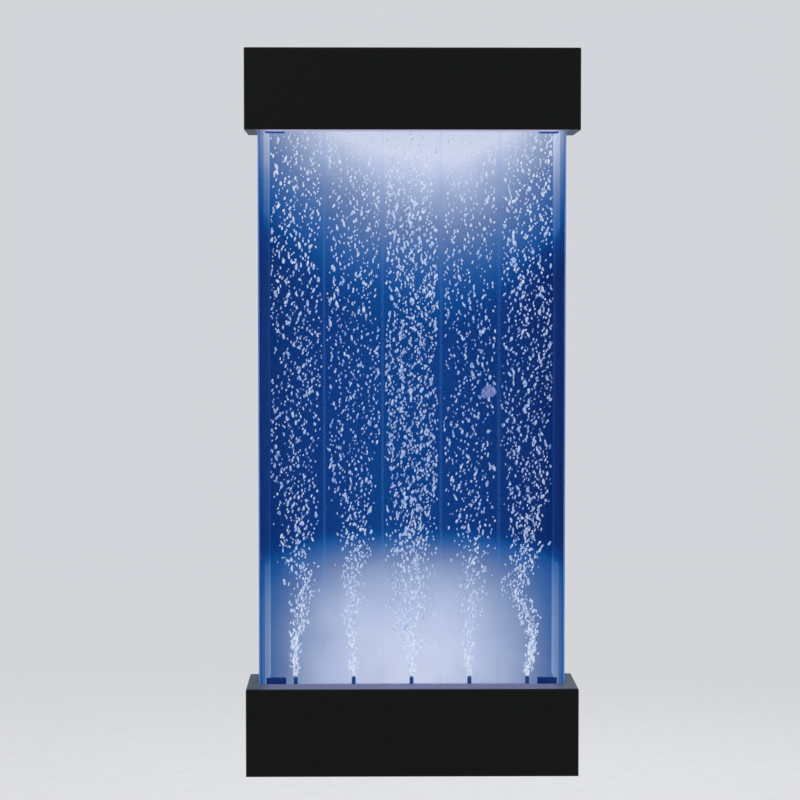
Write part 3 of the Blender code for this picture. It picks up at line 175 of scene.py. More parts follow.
@dataclass(frozen=True)
class Finish:
    """A real material, how its surface was made, and its fine texture.

    The colour wanders between two hex values, and the roughness and the relief follow the
    same grain. The stretch draws the grain out along an axis where it is below 1. The slot
    names the record's slot for this finish, and is not used.
    """

    name: str
    colour: str
    other_colour: str
    roughness: float
    grain_mm: float
    relief_mm: float = 0.02
    slot: Slot | None = None
    roughness_swing: float = 0.06
    stretch: tuple[float, float, float] = (1.0, 1.0, 1.0)
    metallic: float = 0.0
    ior: float = 1.5
    specular: float = 0.5
    alpha: float = 1.0

    def material(self) -> bpy.types.Material:
        """Return this finish's material, made on first use."""
        found = bpy.data.materials.get(self.name)
        if found:
            return found
        made = bpy.data.materials.new(self.name)
        made.use_nodes = True
        on = Nodes(made.node_tree, made.node_tree.nodes["Principled BSDF"])
        plain = {"Metallic": self.metallic, "IOR": self.ior, "Alpha": self.alpha}
        on.feed(on.shader, {**plain, "Specular IOR Level": self.specular})
        on.point = on.add("TexCoord", give="Object")
        self.dress(on)
        return made

    @property
    def stops(self) -> tuple[tuple[float, str], ...]:
        """Return the places of the two colours on a ramp, which suit the grain's range."""
        return ((0.3, self.colour), (0.7, self.other_colour))

    def grain(self, on: Nodes) -> Socket:
        """Add noise at the grain's real size.

        Args:
            on: the material's nodes.

        Returns:
            The grain's value, about 0.3 to 0.7.
        """
        drawn = on.add("Mapping", {"Vector": on.point, "Scale": self.stretch})
        scale = 1 / (self.grain_mm * MM)
        return on.add("TexNoise", {"Vector": drawn, "Scale": scale, "Detail": 3.0})

    def surface(self, on: Nodes, height: Socket, colour: Socket | None = None) -> None:
        """Link the colour, the roughness and the relief that a height gives.

        Args:
            on: the material's nodes.
            height: the pattern's value, 0 to 1.
            colour: a colour to use in place of the two hex values.
        """
        if colour is None:
            colour = on.add("ValToRGB", {"Fac": height}, stops=self.stops)
        low, high = self.roughness - self.roughness_swing, self.roughness + self.roughness_swing
        rough = on.add("MapRange", {"Value": height, "To Min": low, "To Max": high})
        bump = on.add("Bump", {"Height": height, "Distance": self.relief_mm * MM})
        on.feed(on.shader, {"Base Color": colour, "Roughness": rough, "Normal": bump})

    def dress(self, on: Nodes) -> None:
        """Give the shader the plain grain."""
        self.surface(on, self.grain(on))


@dataclass(frozen=True)
class PowderCoat(Finish):
    """Polyester powder baked on folded steel: orange peel, and a painted highlight along the edges.
    """

    edge_highlight_colour: str = "#3b3d44"
    edge_mm: float = 1.6
    highlight_from: float = 0.995
    highlight_full: float = 0.86

    def dress(self, on: Nodes) -> None:
        """Add a painted highlight along the edges to the orange peel.

        Args:
            on: the material's nodes.
        """
        peel = self.grain(on)
        body = on.add("ValToRGB", {"Fac": peel}, stops=self.stops)
        # Painted edge highlight: the coat turns paler where the rounded normal leaves the flat one.
        rounded = on.add("Bevel", {"Radius": self.edge_mm * MM}, samples=4)
        flat = on.add("NewGeometry", give="Normal")
        same = on.add("VectorMath", {0: rounded, 1: flat}, "Value", operation="DOT_PRODUCT")
        ends = {"From Min": self.highlight_from, "From Max": self.highlight_full}
        edge_highlight = on.add("MapRange", {"Value": same, **ends})
        edge = linear(self.edge_highlight_colour)
        highlighted = on.add("Mix", {0: edge_highlight, 6: body, 7: edge}, 2, data_type="RGBA")
        self.surface(on, peel, highlighted)


@dataclass(frozen=True)
class SpillLitCoat(PowderCoat):
    """Powder coat on a plate beside the tank, lit by the tank along the tank's width."""

    spill: str = "#575377"
    lit_half: float = 0.238
    fade: float = 0.026

    def dress(self, on: Nodes) -> None:
        """Add the tank's light to the coat.

        Args:
            on: the material's nodes.
        """
        super().dress(on)
        ends = {"From Min": self.lit_half + self.fade, "From Max": self.lit_half}
        lit = on.add("MapRange", {"Value": on.aside(), **ends})
        light = on.add("Mix", {0: lit, 6: BLACK, 7: linear(self.spill)}, 2, data_type="RGBA")
        on.feed(on.shader, {"Emission Color": light, "Emission Strength": 1.0})


@dataclass(frozen=True)
class LitAcrylic(Finish):
    """Acrylic lit through by the lamps above and below it.

    A lamp's light fades with the distance from it, as two domes of pale light over deep
    blue. The glow is the share of that light that the material gives off by itself.
    """

    glow: float = 1.0
    body: float = 0.28
    lift: float = 0.0
    bars: bool = False

    def lamp_light(self, on: Nodes) -> Socket:
        """Work out the light's strength at a point, by one Math node for each step.

        Args:
            on: the material's nodes.

        Returns:
            1 at the brightest point, 0 where the domes end, and below 0 past them.
        """
        place = on.add("SeparateXYZ", {0: on.point}).node.outputs
        clouds = on.add("TexNoise", {"Vector": on.point, "Scale": CLOUD_SCALE, "Detail": 2.0})
        known: dict[Any, Socket] = {"across": place[0], "height": place[2], "clouds": clouds}
        steps: tuple[tuple[str | float, ...], ...] = (
            ("aside", "SUBTRACT", "across", UPPER_GLOW_X),
            ("left", "LESS_THAN", "aside", 0.0),
            ("narrowing", "MULTIPLY_ADD", "left", UPPER_GLOW_LEFT - UPPER_GLOW_RIGHT,
             UPPER_GLOW_RIGHT),
            ("bend", "MULTIPLY", "aside", "aside"),
            ("bend", "MULTIPLY", "bend", "narrowing"),
            ("depth", "SUBTRACT", HOOD_LIP_Z, "height"),
            ("upper", "MULTIPLY_ADD", "depth", -1 / UPPER_GLOW_REACH, UPPER_GLOW_PEAK),
            ("upper", "SUBTRACT", "upper", "bend"),
            ("side", "ABSOLUTE", "across"),
            ("side", "DIVIDE", "side", LOWER_GLOW_HALF),
            ("side", "POWER", "side", LOWER_GLOW_POWER),
            ("edge", "MULTIPLY_ADD", "side", -LOWER_GLOW_DIP, TANK_FLOOR_Z + LOWER_GLOW_REACH),
            ("inside", "SUBTRACT", "edge", "height"),
            ("inside", "DIVIDE", "inside", LOWER_GLOW_SOFTNESS),
            ("growth", "MULTIPLY", "inside", -1.0),
            ("growth", "EXPONENT", "growth"),
            ("growth", "SUBTRACT", 1.0, "growth"),
            ("strength", "MULTIPLY_ADD", "side", -LOWER_GLOW_LOSS, LOWER_GLOW_PEAK),
            ("lower", "MULTIPLY", "growth", "strength"),
            ("both", "SMOOTH_MAX", "upper", "lower", GLOW_BLEND),
            ("both", "MAXIMUM", "both", UNLIT),
            ("wander", "MULTIPLY_ADD", "clouds", CLOUD_SWING, self.lift - CLOUD_SWING / 2),
            ("fade", "MULTIPLY", "across", "across"),
            ("fade", "MULTIPLY_ADD", "fade", -UNLIT_FADE, UNLIT_MIDDLE),
            ("right", "MAXIMUM", "across", 0.0),
            ("fade", "MULTIPLY_ADD", "right", -UNLIT_RIGHT, "fade"),
            ("unlit", "DIVIDE", "both", UNLIT),
            ("unlit", "MAXIMUM", "unlit", 0.0),
            ("unlit", "MINIMUM", "unlit", 1.0),
            ("shade", "MULTIPLY", "fade", "unlit"),
            ("light", "ADD", "both", "wander"),
            ("light", "ADD", "light", "shade"),
        )
        for result, operation, *terms in steps:
            inputs = {at: known.get(term, term) for at, term in enumerate(terms)}
            known[result] = on.add("Math", inputs, operation=operation)
        return known["light"]

    def dress(self, on: Nodes) -> None:
        """Colour the acrylic by the lamps' light and let it glow.

        Args:
            on: the material's nodes.
        """
        light = self.lamp_light(on)
        if self.bars:
            light = self.bar_light(on, light)
        dark = LIT_BLUES[0][0]
        share = on.add("MapRange", {"Value": light, "From Min": dark, "From Max": 1.0})
        stops = [((at - dark) / (1 - dark), colour) for at, colour in LIT_BLUES]
        blues = on.add("ValToRGB", {"Fac": share}, stops=stops)
        body = on.add("Mix", {0: self.body, 6: BLACK, 7: blues}, 2, data_type="RGBA")
        self.surface(on, self.grain(on), body)
        on.feed(on.shader, {"Emission Color": blues, "Emission Strength": self.glow})

    def bar_light(self, on: Nodes, light: Socket) -> Socket:
        """Add the stripes of a side wall: pale inner bar, darker wall, pale outer rim.

        Args:
            on: the material's nodes.
            light: the lamps' light there.

        Returns:
            The light with the stripes.
        """
        distance = on.aside()
        for place, change in SIDE_STRIPES:
            ends = {"From Min": place - STRIPE_EDGE, "From Max": place + STRIPE_EDGE}
            step = on.add("MapRange", {"Value": distance, "To Max": change, **ends})
            light = on.add("Math", {0: light, 1: step}, operation="ADD")
        return light


@dataclass(frozen=True)
class ClearAcrylic(Finish):
    """Cast acrylic sheet: clear, mirroring more at a slant, with pale polished rims, and a painted
    glow of its own blue that shows most at the rims.
    """

    haze: float = 0.005
    gloss: float = 0.5
    face_on_mirror: float = 0.04
    rim_from: float = 1.0
    rim_edge: float = 0.0008
    rim_haze: float = 0.5
    side_share: float = 1.0
    tint: str = "#fcfdff"
    glow: float = 0.25

    def dress(self, on: Nodes) -> None:
        """Mix the gloss with what shows through the sheet.

        Args:
            on: the material's nodes.
        """
        super().dress(on)
        # Painted glow: the sheet gives off its blue as if it held the tank's light.
        on.feed(on.shader, {"Emission Color": linear(self.colour), "Emission Strength": self.glow})
        mirror = on.add("Fresnel", {"IOR": self.ior})
        terms = {0: mirror, 1: self.gloss, 2: self.haze - self.face_on_mirror * self.gloss}
        gloss = on.add("Math", terms, operation="MULTIPLY_ADD")
        ends = {"From Min": self.rim_from, "From Max": self.rim_from + self.rim_edge}
        rim = on.add("MapRange", {"Value": on.aside(), "To Max": self.rim_haze, **ends})
        share = on.add("Math", {0: gloss, 1: rim}, operation="MAXIMUM")
        if self.side_share < 1:
            facing = on.add("SeparateXYZ", {0: on.add("TexCoord", give="Normal")})
            sideways = on.add("Math", {0: facing}, operation="ABSOLUTE")
            ends = {"To Min": 1.0, "To Max": self.side_share}
            faint = on.add("MapRange", {"Value": sideways, **ends})
            share = on.add("Math", {0: share, 1: faint}, operation="MULTIPLY")
        clear = on.add("BsdfTransparent", {0: linear(self.tint)})
        mixed = on.add("MixShader", {0: share, 1: clear, 2: on.shader.outputs[0]})
        on.feed(on.tree.nodes["Material Output"], {"Surface": mixed})


@dataclass(frozen=True)
class Glowing(Finish):
    """A material that gives off light of its own colour, such as a lens over lamps."""

    strength: float = 0.5
    pitch_mm: float = 0.0

    def dress(self, on: Nodes) -> None:
        """Add the light, brighter over each lamp where there is a lamp pitch.

        Args:
            on: the material's nodes.
        """
        height = self.grain(on)
        if self.pitch_mm:
            waves = {"Vector": on.point, "Scale": math.tau / (20 * self.pitch_mm * MM)}
            bands = on.add("TexWave", waves, 1, bands_direction="X")
            height = on.add("Math", {0: bands, 1: 0.3, 2: 0.35}, operation="MULTIPLY_ADD")
        ramp = on.add("ValToRGB", {"Fac": height}, stops=self.stops)
        self.surface(on, height, ramp)
        on.feed(on.shader, {"Emission Color": ramp, "Emission Strength": self.strength})


@dataclass(frozen=True)
class LitBubbles(Finish):
    """Air in water: pale beads, each of its own brightness, and whiter near the lamps."""

    strength: float = 0.55
    body: float = 0.50
    whitening: float = 0.26
    whitest: tuple[float, str] = (0.92, "#ffffff")

    def dress(self, on: Nodes) -> None:
        """Vary the beads by a coarse grain and by their height.

        Args:
            on: the material's nodes.
        """
        height = on.add("SeparateXYZ", {0: on.point}, 2)
        middle, half = (HOOD_LIP_Z + TANK_FLOOR_Z) / 2, (HOOD_LIP_Z - TANK_FLOOR_Z) / 2
        terms = {0: height, 1: 1 / half, 2: -middle / half}
        offset = on.add("Math", terms, operation="MULTIPLY_ADD")
        squared = on.add("Math", {0: offset, 1: offset}, operation="MULTIPLY")
        terms = {0: squared, 1: self.whitening, 2: self.grain(on)}
        white = on.add("Math", terms, operation="MULTIPLY_ADD")
        ramp = on.add("ValToRGB", {"Fac": white}, stops=(*self.stops, self.whitest))
        body = on.add("Mix", {0: self.body, 6: BLACK, 7: ramp}, 2, data_type="RGBA")
        self.surface(on, white, body)
        on.feed(on.shader, {"Emission Color": ramp, "Emission Strength": self.strength})


@dataclass(frozen=True)
class Wound(Finish):
    """Enamelled wire laid turn beside turn, with a painted highlight and painted shade on each turn.
    """

    wire_mm: float = 1.0

    def dress(self, on: Nodes) -> None:
        """Band the winding by its wire, as painted highlight and painted shade.

        Args:
            on: the material's nodes.
        """
        scale = math.tau / (20 * self.wire_mm * MM)
        waves = {"Vector": on.point, "Scale": scale, "Distortion": 0.4}
        self.surface(on, on.add("TexWave", waves, 1, bands_direction="Y"))


@dataclass(frozen=True)
class FloorPaint(Finish):
    """Pale matt floor that runs into the backdrop, and that hides nothing from below."""

    fade_from: float = 1.0
    fade_to: float = 7.0

    def dress(self, on: Nodes) -> None:
        """Mix the paint with the backdrop's colour, more with the distance.

        Args:
            on: the material's nodes.
        """
        super().dress(on)
        away = on.add("SeparateXYZ", {0: on.point}, 1)
        ends = {"From Min": self.fade_from, "From Max": self.fade_to}
        share = on.add("MapRange", {"Value": away, **ends}, interpolation_type="SMOOTHSTEP")
        sight = on.add("Emission", {0: linear(BACKDROP)})
        mixed = on.add("MixShader", {0: share, 1: on.shader.outputs[0], 2: sight})
        below = on.add("NewGeometry", give="Backfacing")
        one_sided = on.add("MixShader", {0: below, 1: mixed, 2: on.add("BsdfTransparent")})
        on.feed(on.tree.nodes["Material Output"], {"Surface": one_sided})


# The light in the tank, as the photograph shows it
HOOD_LIP_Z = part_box("hood_underside")[0].z
TANK_FLOOR_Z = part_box("tank_floor")[1].z
SIDE_STRIPES = ((0.2500, -0.20), (0.2556, -0.16), (0.2584, 0.30))
STRIPE_EDGE = 0.0003
UPPER_GLOW_X = 0.045
UPPER_GLOW_LEFT = 7.2
UPPER_GLOW_RIGHT = 12.2
UPPER_GLOW_REACH = 0.240
UPPER_GLOW_PEAK = 1.18
LOWER_GLOW_REACH = 0.258
LOWER_GLOW_HALF = 0.210
LOWER_GLOW_POWER = 3.0
LOWER_GLOW_DIP = 0.029
LOWER_GLOW_SOFTNESS = 0.054
LOWER_GLOW_PEAK = 0.96
LOWER_GLOW_LOSS = 0.40
GLOW_BLEND = 0.06
CLOUD_SCALE = 14.0
CLOUD_SWING = 0.16
UNLIT = -0.30
UNLIT_MIDDLE = 0.12
UNLIT_FADE = 13.0
UNLIT_RIGHT = 2.0
LIT_BLUES = (
    (-1.6, "#001b56"), (-0.9, "#012966"), (-0.4, "#013171"), (-0.15, "#013a78"),
    (0.0, "#034481"), (0.14, "#20528f"), (0.32, "#436798"), (0.5, "#697da2"),
    (0.71, "#97a4bc"), (0.85, "#b6bed2"), (1.0, "#d8dae4"),
)
BACKDROP = "#d3d5da"

# Folded steel, powder coated: matt black with a fine peel, drawn at 3 mm so that it shows
COATED_STEEL = PowderCoat(
    "powder_coated_steel", "#070908", "#0c0e0c", 0.40, 3.0, 0.015, specular=0.10
)
# Black powder on the plates next to the tank, painted grey as a painted reflection of light at a
# slant: satin, lilac where the tank lights them
BASE_TOP_STEEL = SpillLitCoat(
    "powder_coated_steel_painted_grey_reflection", "#3e4e58", "#465660", 0.55, 8.0, 0.003, Slot.POWDER_BLACK,
    specular=0.12, edge_highlight_colour="#525d66",
)
# The hood's underside: the same painted grey reflection, and a stronger lilac of the tank's light
HOOD_PLATE_STEEL = SpillLitCoat(
    "lamp_lit_powder_coated_steel_painted_grey_reflection", "#414d5a", "#495562", 0.55, 8.0, 0.003,
    specular=0.12, edge_highlight_colour="#525d66", spill="#a2a0bd",
)
# Zinc plate, passivated: pale grey with bluish and straw-coloured clouds along the rolling
PLATED_STEEL = Finish(
    "zinc_plated_steel", "#bcc0c6", "#c8c7c1", 0.34, 16.0, stretch=(0.4, 1, 1), metallic=1.0
)
# Zinc-plated screws: brighter and smoother than the sheet they hold
SCREW_STEEL = Finish(
    "cold_headed_zinc_steel", "#c4c8cc", "#aeb2b8", 0.26, 1.5, 0.01, Slot.ZINC, metallic=1.0
)
# Extruded aluminium: die lines along the channel, drawn at 0.5 mm
EXTRUDED_ALUMINIUM = Finish(
    "extruded_aluminium", "#c9cbce", "#b4b7bb", 0.32, 0.5, stretch=(0.02, 1, 1), metallic=1.0
)
# Rolled spring steel: grey, with rolling lines along the arm
ROLLED_STEEL = Finish(
    "rolled_spring_steel", "#8b8c90", "#a4a5a8", 0.34, 0.6, slot=Slot.SPRING_STEEL,
    stretch=(0.05, 1, 1), metallic=1.0,
)
# Stacked silicon steel: dark, with the edge of each sheet showing as a line
STACKED_STEEL = Finish(
    "laminated_silicon_steel", "#3d3f43", "#6a6c70", 0.45, 0.7, slot=Slot.SPRING_STEEL,
    stretch=(0.03, 0.03, 1), metallic=1.0,
)
# Moulded EPDM: dull black with a fine bloom
MOULDED_RUBBER = Finish(
    "moulded_rubber", "#141414", "#1f1f20", 0.78, 1.2, 0.03, Slot.RUBBER_BLACK, specular=0.3
)
# Extruded silicone: translucent, softly shining, faintly blue with the light around it
EXTRUDED_SILICONE = Finish(
    "extruded_silicone_tube", "#b7c4d2", "#cbd6e2", 0.30, 4.0, 0.01, Slot.SILICONE,
    ior=1.41, alpha=0.82,
)
# Cast acrylic for the big panes: all but invisible face on, with a pale polished rim that carries a
# faint painted glow
PANE_ACRYLIC = ClearAcrylic(
    "cast_acrylic_pane", "#4f79b8", "#6188c4", 0.04, 60.0, 0.0, roughness_swing=0.01,
    ior=1.49, rim_from=0.2572,
)
# The same sheet behind the water, where it mirrors next to nothing
WET_PANE_ACRYLIC = ClearAcrylic(
    "cast_acrylic_pane_in_water", "#4f79b8", "#6188c4", 0.04, 60.0, 0.0,
    roughness_swing=0.01, ior=1.49, haze=0.002, gloss=0.05, rim_from=0.2572,
)
# Cast acrylic, sawn and flame polished: a divider shows as a pale line, partly a painted glow
DIVIDER_ACRYLIC = ClearAcrylic(
    "flame_polished_acrylic", "#4583c6", "#5c95d2", 0.12, 6.0,
    ior=1.49, haze=0.075, gloss=0.2, glow=0.5, side_share=0.06,
)
# Cast acrylic in thick bars: full of the lamps' light, paler at the inner step
SIDE_ACRYLIC = LitAcrylic(
    "cast_acrylic_bar", "#000000", "#000000", 0.10, 30.0, 0.01, ior=1.49, bars=True,
    alpha=0.97, specular=0.12, lift=0.20,
)
# Solvent cement, set in the corner: a pale line of the lamps' light
SEAM_CEMENT = LitAcrylic(
    "set_solvent_cement", "#000000", "#000000", 0.15, 10.0, 0.01, Slot.ACRYLIC_CLEAR, lift=0.22
)
# Blue acrylic sheet behind the tank: its gloss lies behind water, so little of it shows
BACK_ACRYLIC = LitAcrylic(
    "blue_acrylic_sheet", "#000000", "#000000", 0.30, 40.0, 0.01, ior=1.49, specular=0.05
)
# Acrylic floor seen edge on: pale with the light that comes up through it
FLOOR_ACRYLIC = Glowing(
    "cast_acrylic_floor", "#8f97bd", "#a2a9cc", 0.12, 20.0, 0.01, ior=1.49, alpha=0.75,
    strength=0.35,
)
# Navy acrylic blocks: solid colour with a polished face, and a painted glow of the tank's light
NAVY_ACRYLIC = Glowing(
    "navy_cast_acrylic", "#03235e", "#052d6e", 0.12, 8.0, 0.01, ior=1.49, strength=0.45
)
# The same blocks close under the hood's lamps: a lighter, clear blue
LIT_NAVY_ACRYLIC = Glowing(
    "lamp_lit_navy_cast_acrylic", "#0b4482", "#14508f", 0.12, 8.0, 0.01, ior=1.49
)
# Turned nylon nozzles: dark blue by the water round them, with a painted glow of the tank's light
TURNED_NYLON = Glowing("turned_navy_nylon", "#0d3768", "#15487f", 0.38, 2.0, strength=0.4)
# Water: faintly blue, clear, its surface rippled by the bubbles
TANK_WATER = Finish(
    "tank_water", "#1d56a8", "#2f66b4", 0.03, 25.0, 0.4, Slot.ACRYLIC_CLEAR,
    roughness_swing=0.01, ior=1.33, alpha=0.05,
)
# Bubbles: each shows as a bright bead that has caught the lamps' light
BUBBLE_FILM = LitBubbles(
    "lit_air_bubble", "#4680cc", "#e6effd", 0.18, 5.0, 0.0, Slot.ACRYLIC_CLEAR, ior=1.33
)
# One large slow bubble: a dim lens of air, with a painted glow of the lamps' light
POCKET_AIR = Glowing(
    "lit_air_pocket", "#3f579b", "#a9b2dc", 0.15, 7.0, 0.1, Slot.ACRYLIC_CLEAR, ior=1.33,
    alpha=0.45, strength=0.35,
)
# Opal polycarbonate over the lamps: white, brighter over each of them
OPAL_LENS = Glowing(
    "opal_polycarbonate", "#d9dcf2", "#f4f5ff", 0.40, 10.0, 0.0, strength=0.9, pitch_mm=16.7
)
# Lamp packages: pale yellow phosphor that glows
LAMP_PHOSPHOR = Glowing(
    "silicone_phosphor", "#e9e6c8", "#fbf7dc", 0.45, 1.0, 0.01, Slot.OPAL, strength=0.8
)
# White solder mask on a flexible strip: even, slightly glossy
SOLDER_MASK = Finish("white_solder_mask", "#dcdedd", "#e8e9e6", 0.35, 3.0, 0.01, Slot.ABS_WHITE)
# Moulded ABS, spark-eroded texture drawn at 0.9 mm: dull grey pump housing
GREY_ABS = Finish("moulded_grey_abs", "#5a5d61", "#64676b", 0.52, 0.9, 0.03)
# Moulded ABS, fine texture: off-white driver housing
WHITE_ABS = Finish("moulded_white_abs", "#d8d8d4", "#e2e2dd", 0.46, 0.9, slot=Slot.ABS_WHITE)
# Moulded nylon, smooth tool: light grey valves
GREY_NYLON = Finish("moulded_grey_nylon", "#9a9ca0", "#a5a7aa", 0.45, 1.6, 0.015, Slot.NYLON_GREY)
# Moulded nylon, red pigment: levers, with a slight wax-like shine
RED_NYLON = Finish("moulded_red_nylon", "#b01c18", "#bb2a22", 0.40, 1.6, 0.015)
# Moulded nylon, black: switch and inlet, fine spark texture
BLACK_NYLON = Finish(
    "moulded_black_nylon", "#17181a", "#1f2022", 0.42, 0.8, slot=Slot.NYLON_BLACK
)
# PVC over the lead: black, softly shining, with a faint draw along it
BLACK_PVC = Finish("extruded_black_pvc", "#18191a", "#202122", 0.38, 2.0, 0.01, Slot.NYLON_BLACK)
# PVC over single wires, in the usual colours of supply wiring
BROWN_PVC = Finish("extruded_brown_pvc", "#5d3420", "#6b3f28", 0.40, 2.0, 0.01, Slot.NYLON_BLACK)
BLUE_PVC = Finish("extruded_blue_pvc", "#1f57a6", "#2a63b2", 0.40, 2.0, 0.01, Slot.NYLON_BLACK)
EARTH_PVC = Finish("extruded_earth_pvc", "#3f8f3a", "#d8cf3a", 0.40, 5.0, 0.01, Slot.NYLON_BLACK)
# Enamelled copper wire: orange-brown, with a painted highlight and painted shade on each turn
ENAMELLED_COPPER = Wound(
    "enamelled_copper", "#8d4a22", "#c97b45", 0.30, 1.0, 0.05, Slot.COPPER, metallic=1.0
)
# Matt wall paint on the floor: even, with a faint roller texture
FLOOR_PAINT = FloorPaint("matt_floor_paint", "#e2e3e7", "#e6e7ea", 0.85, 60.0, 0.0, specular=0.1)


# Mesh tools


def middle_of(node: str) -> Vector:
    """Return the middle of a CAD node's box at rest."""
    low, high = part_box(node)
    return (low + high) / 2


def face_outwards(mesh: Shape) -> Shape:
    """Turn a closed mesh's faces outwards, and return it."""
    bmesh.ops.recalc_face_normals(mesh, faces=mesh.faces)
    return mesh


def round_edges(mesh: Shape, width: float, segments: int = 2) -> None:
    """Round all edges of a mesh.

    Args:
        mesh: the mesh to change.
        width: how far each round reaches.
        segments: faces across each round.
    """
    bmesh.ops.bevel(
        mesh, geom=list(mesh.edges), offset=width, offset_type="OFFSET", affect="EDGES",
        segments=segments, profile=0.5, material=-1, clamp_overlap=True,
    )


def box_mesh(low: Point, high: Point, edge: float = 0.0) -> Shape:
    """Make a box between two corners.

    Args:
        low: its lowest corner.
        high: its highest corner.
        edge: width of its rounded edges.

    Returns:
        The closed mesh.
    """
    made = bmesh.new()
    size = Vector(high) - Vector(low)
    placed = Matrix.Translation((Vector(low) + Vector(high)) / 2) @ Matrix.Diagonal((*size, 1))
    bmesh.ops.create_cube(made, size=1, matrix=placed)
    if edge:
        round_edges(made, edge)
    return made


def turned_mesh(profile: Sequence[Point], steps: int = 24, ring: bool = False) -> Shape:
    """Turn a profile about Z.

    Args:
        profile: pairs of radius and height, from the foot to the top.
        steps: faces round the axis.
        ring: whether the profile closes on itself, and so makes a ring.

    Returns:
        The turned mesh, closed where the profile starts and ends on the axis or on itself.
    """
    made = bmesh.new()
    points = [*profile, profile[0]] if ring else profile
    chain = [made.verts.new((radius, 0, height)) for radius, height in points]
    links = [made.edges.new(pair) for pair in zip(chain, chain[1:])]
    bmesh.ops.spin(
        made, geom=chain + links, cent=(0, 0, 0), axis=(0, 0, 1), angle=math.tau,
        steps=steps, use_merge=True,
    )
    bmesh.ops.remove_doubles(made, verts=made.verts, dist=1e-6)
    return face_outwards(made)


def extruded_mesh(outline: Iterable[Point], travel: Point) -> Shape:
    """Push a flat outline along a way, as a closed mesh that may still be inside out.

    Args:
        outline: its points, all the way round.
        travel: how far it goes.

    Returns:
        The closed mesh.
    """
    made = bmesh.new()
    face = made.faces.new([made.verts.new(point) for point in outline])
    swept = bmesh.ops.extrude_face_region(made, geom=[face])["geom"]
    moved = [item for item in swept if isinstance(item, bmesh.types.BMVert)]
    bmesh.ops.translate(made, vec=travel, verts=moved)
    return made


def stand(mesh: Shape, place: Point, axis: Vector = UP) -> Shape:
    """Turn a mesh's own Z to an axis and move its origin to a place.

    Args:
        mesh: the mesh, made about its own origin.
        place: where that origin goes.
        axis: where its Z points.

    Returns:
        The same mesh.
    """
    turn = UP.rotation_difference(axis).to_matrix().to_4x4()
    bmesh.ops.transform(mesh, matrix=Matrix.Translation(place) @ turn, verts=mesh.verts)
    return mesh


def gather(meshes: Iterable[Shape]) -> Shape:
    """Put several meshes into one.

    Args:
        meshes: the meshes, which are used up.

    Returns:
        One mesh that holds them all.
    """
    made = bmesh.new()
    for each in meshes:
        held = bpy.data.meshes.new("held")
        each.to_mesh(held)
        each.free()
        made.from_mesh(held)
        bpy.data.meshes.remove(held)
    return made


def place_piece(
    made: bpy.types.Object, finish: Finish, body: Body, stands_for: Sequence[str]
) -> None:
    """Give a new object its finish and body.

    Args:
        made: the object, at the origin.
        finish: its material.
        body: the CAD body it moves with.
        stands_for: CAD nodes that it replaces.
    """
    bpy.context.scene.collection.objects.link(made)
    made.data.materials.append(finish.material())
    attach(made, body.value)
    if stands_for:
        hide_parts(*stands_for)
    LOG.info("%s rides on %s, %s", made.name, body.value, finish.name)


def mesh_piece(
    name: str,
    mesh: Shape,
    finish: Finish,
    body: Body = Body.PANEL,
    stands_for: Sequence[str] = (),
    sharp_degrees: float = 32,
) -> None:
    """Make a piece from a bmesh.

    Args:
        name: the piece's name.
        mesh: its mesh, which is used up.
        finish: its material.
        body: the CAD body it moves with.
        stands_for: CAD nodes that it replaces.
        sharp_degrees: the angle past which an edge stays sharp.
    """
    data = bpy.data.meshes.new(name)
    mesh.to_mesh(data)
    mesh.free()
    data.shade_smooth()
    data.set_sharp_from_angle(angle=math.radians(sharp_degrees))
    place_piece(bpy.data.objects.new(name, data), finish, body, stands_for)


def tube_piece(
    name: str,
    points: Sequence[Point],
    radius: float,
    finish: Finish,
    stands_for: Sequence[str] = (),
    rings: int = 3,
) -> None:
    """Make a round tube or wire along points.

    Args:
        name: the piece's name.
        points: the middle line.
        radius: the tube's outer radius.
        finish: its material.
        stands_for: CAD nodes that it replaces.
        rings: how finely its section is rounded.
    """
    curve = bpy.data.curves.new(name, "CURVE")
    curve.dimensions = "3D"
    curve.bevel_depth = radius
    curve.bevel_resolution = rings
    curve.use_fill_caps = True
    spline = curve.splines.new("POLY")
    spline.points.add(len(points) - 1)
    for target, point in zip(spline.points, points):
        target.co = (*point, 1)
    spline.use_smooth = True
    place_piece(bpy.data.objects.new(name, curve), finish, Body.PANEL, stands_for)


def rounded_route(corners: Sequence[Point], bend: float, steps: int = 6) -> list[Vector]:
    """Round the corners of a route.

    Args:
        corners: the route's ends and corners.
        bend: how far before and after a corner its curve starts and ends.
        steps: straight pieces in each curve.

    Returns:
        The points of the route.
    """
    places = [Vector(corner) for corner in corners]
    points = [places[0]]
    for before, corner, after in zip(places, places[1:], places[2:]):
        back, on = before - corner, after - corner
        start = corner + back.normalized() * min(bend, 0.45 * back.length)
        end = corner + on.normalized() * min(bend, 0.45 * on.length)
        for step in range(steps + 1):
            t = step / steps
            points.append((1 - t) ** 2 * start + 2 * t * (1 - t) * corner + t * t * end)
    points.append(places[-1])
    return points


def wear(finish: Finish, *nodes: str) -> None:
    """Give CAD nodes a finish.

    Args:
        finish: the material they get.
        nodes: the CAD nodes' names.
    """
    for name in nodes:
        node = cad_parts[name]
        node.data.materials.clear()
        node.data.materials.append(finish.material())
        LOG.info("%s wears %s", name, finish.name)


# Fasteners


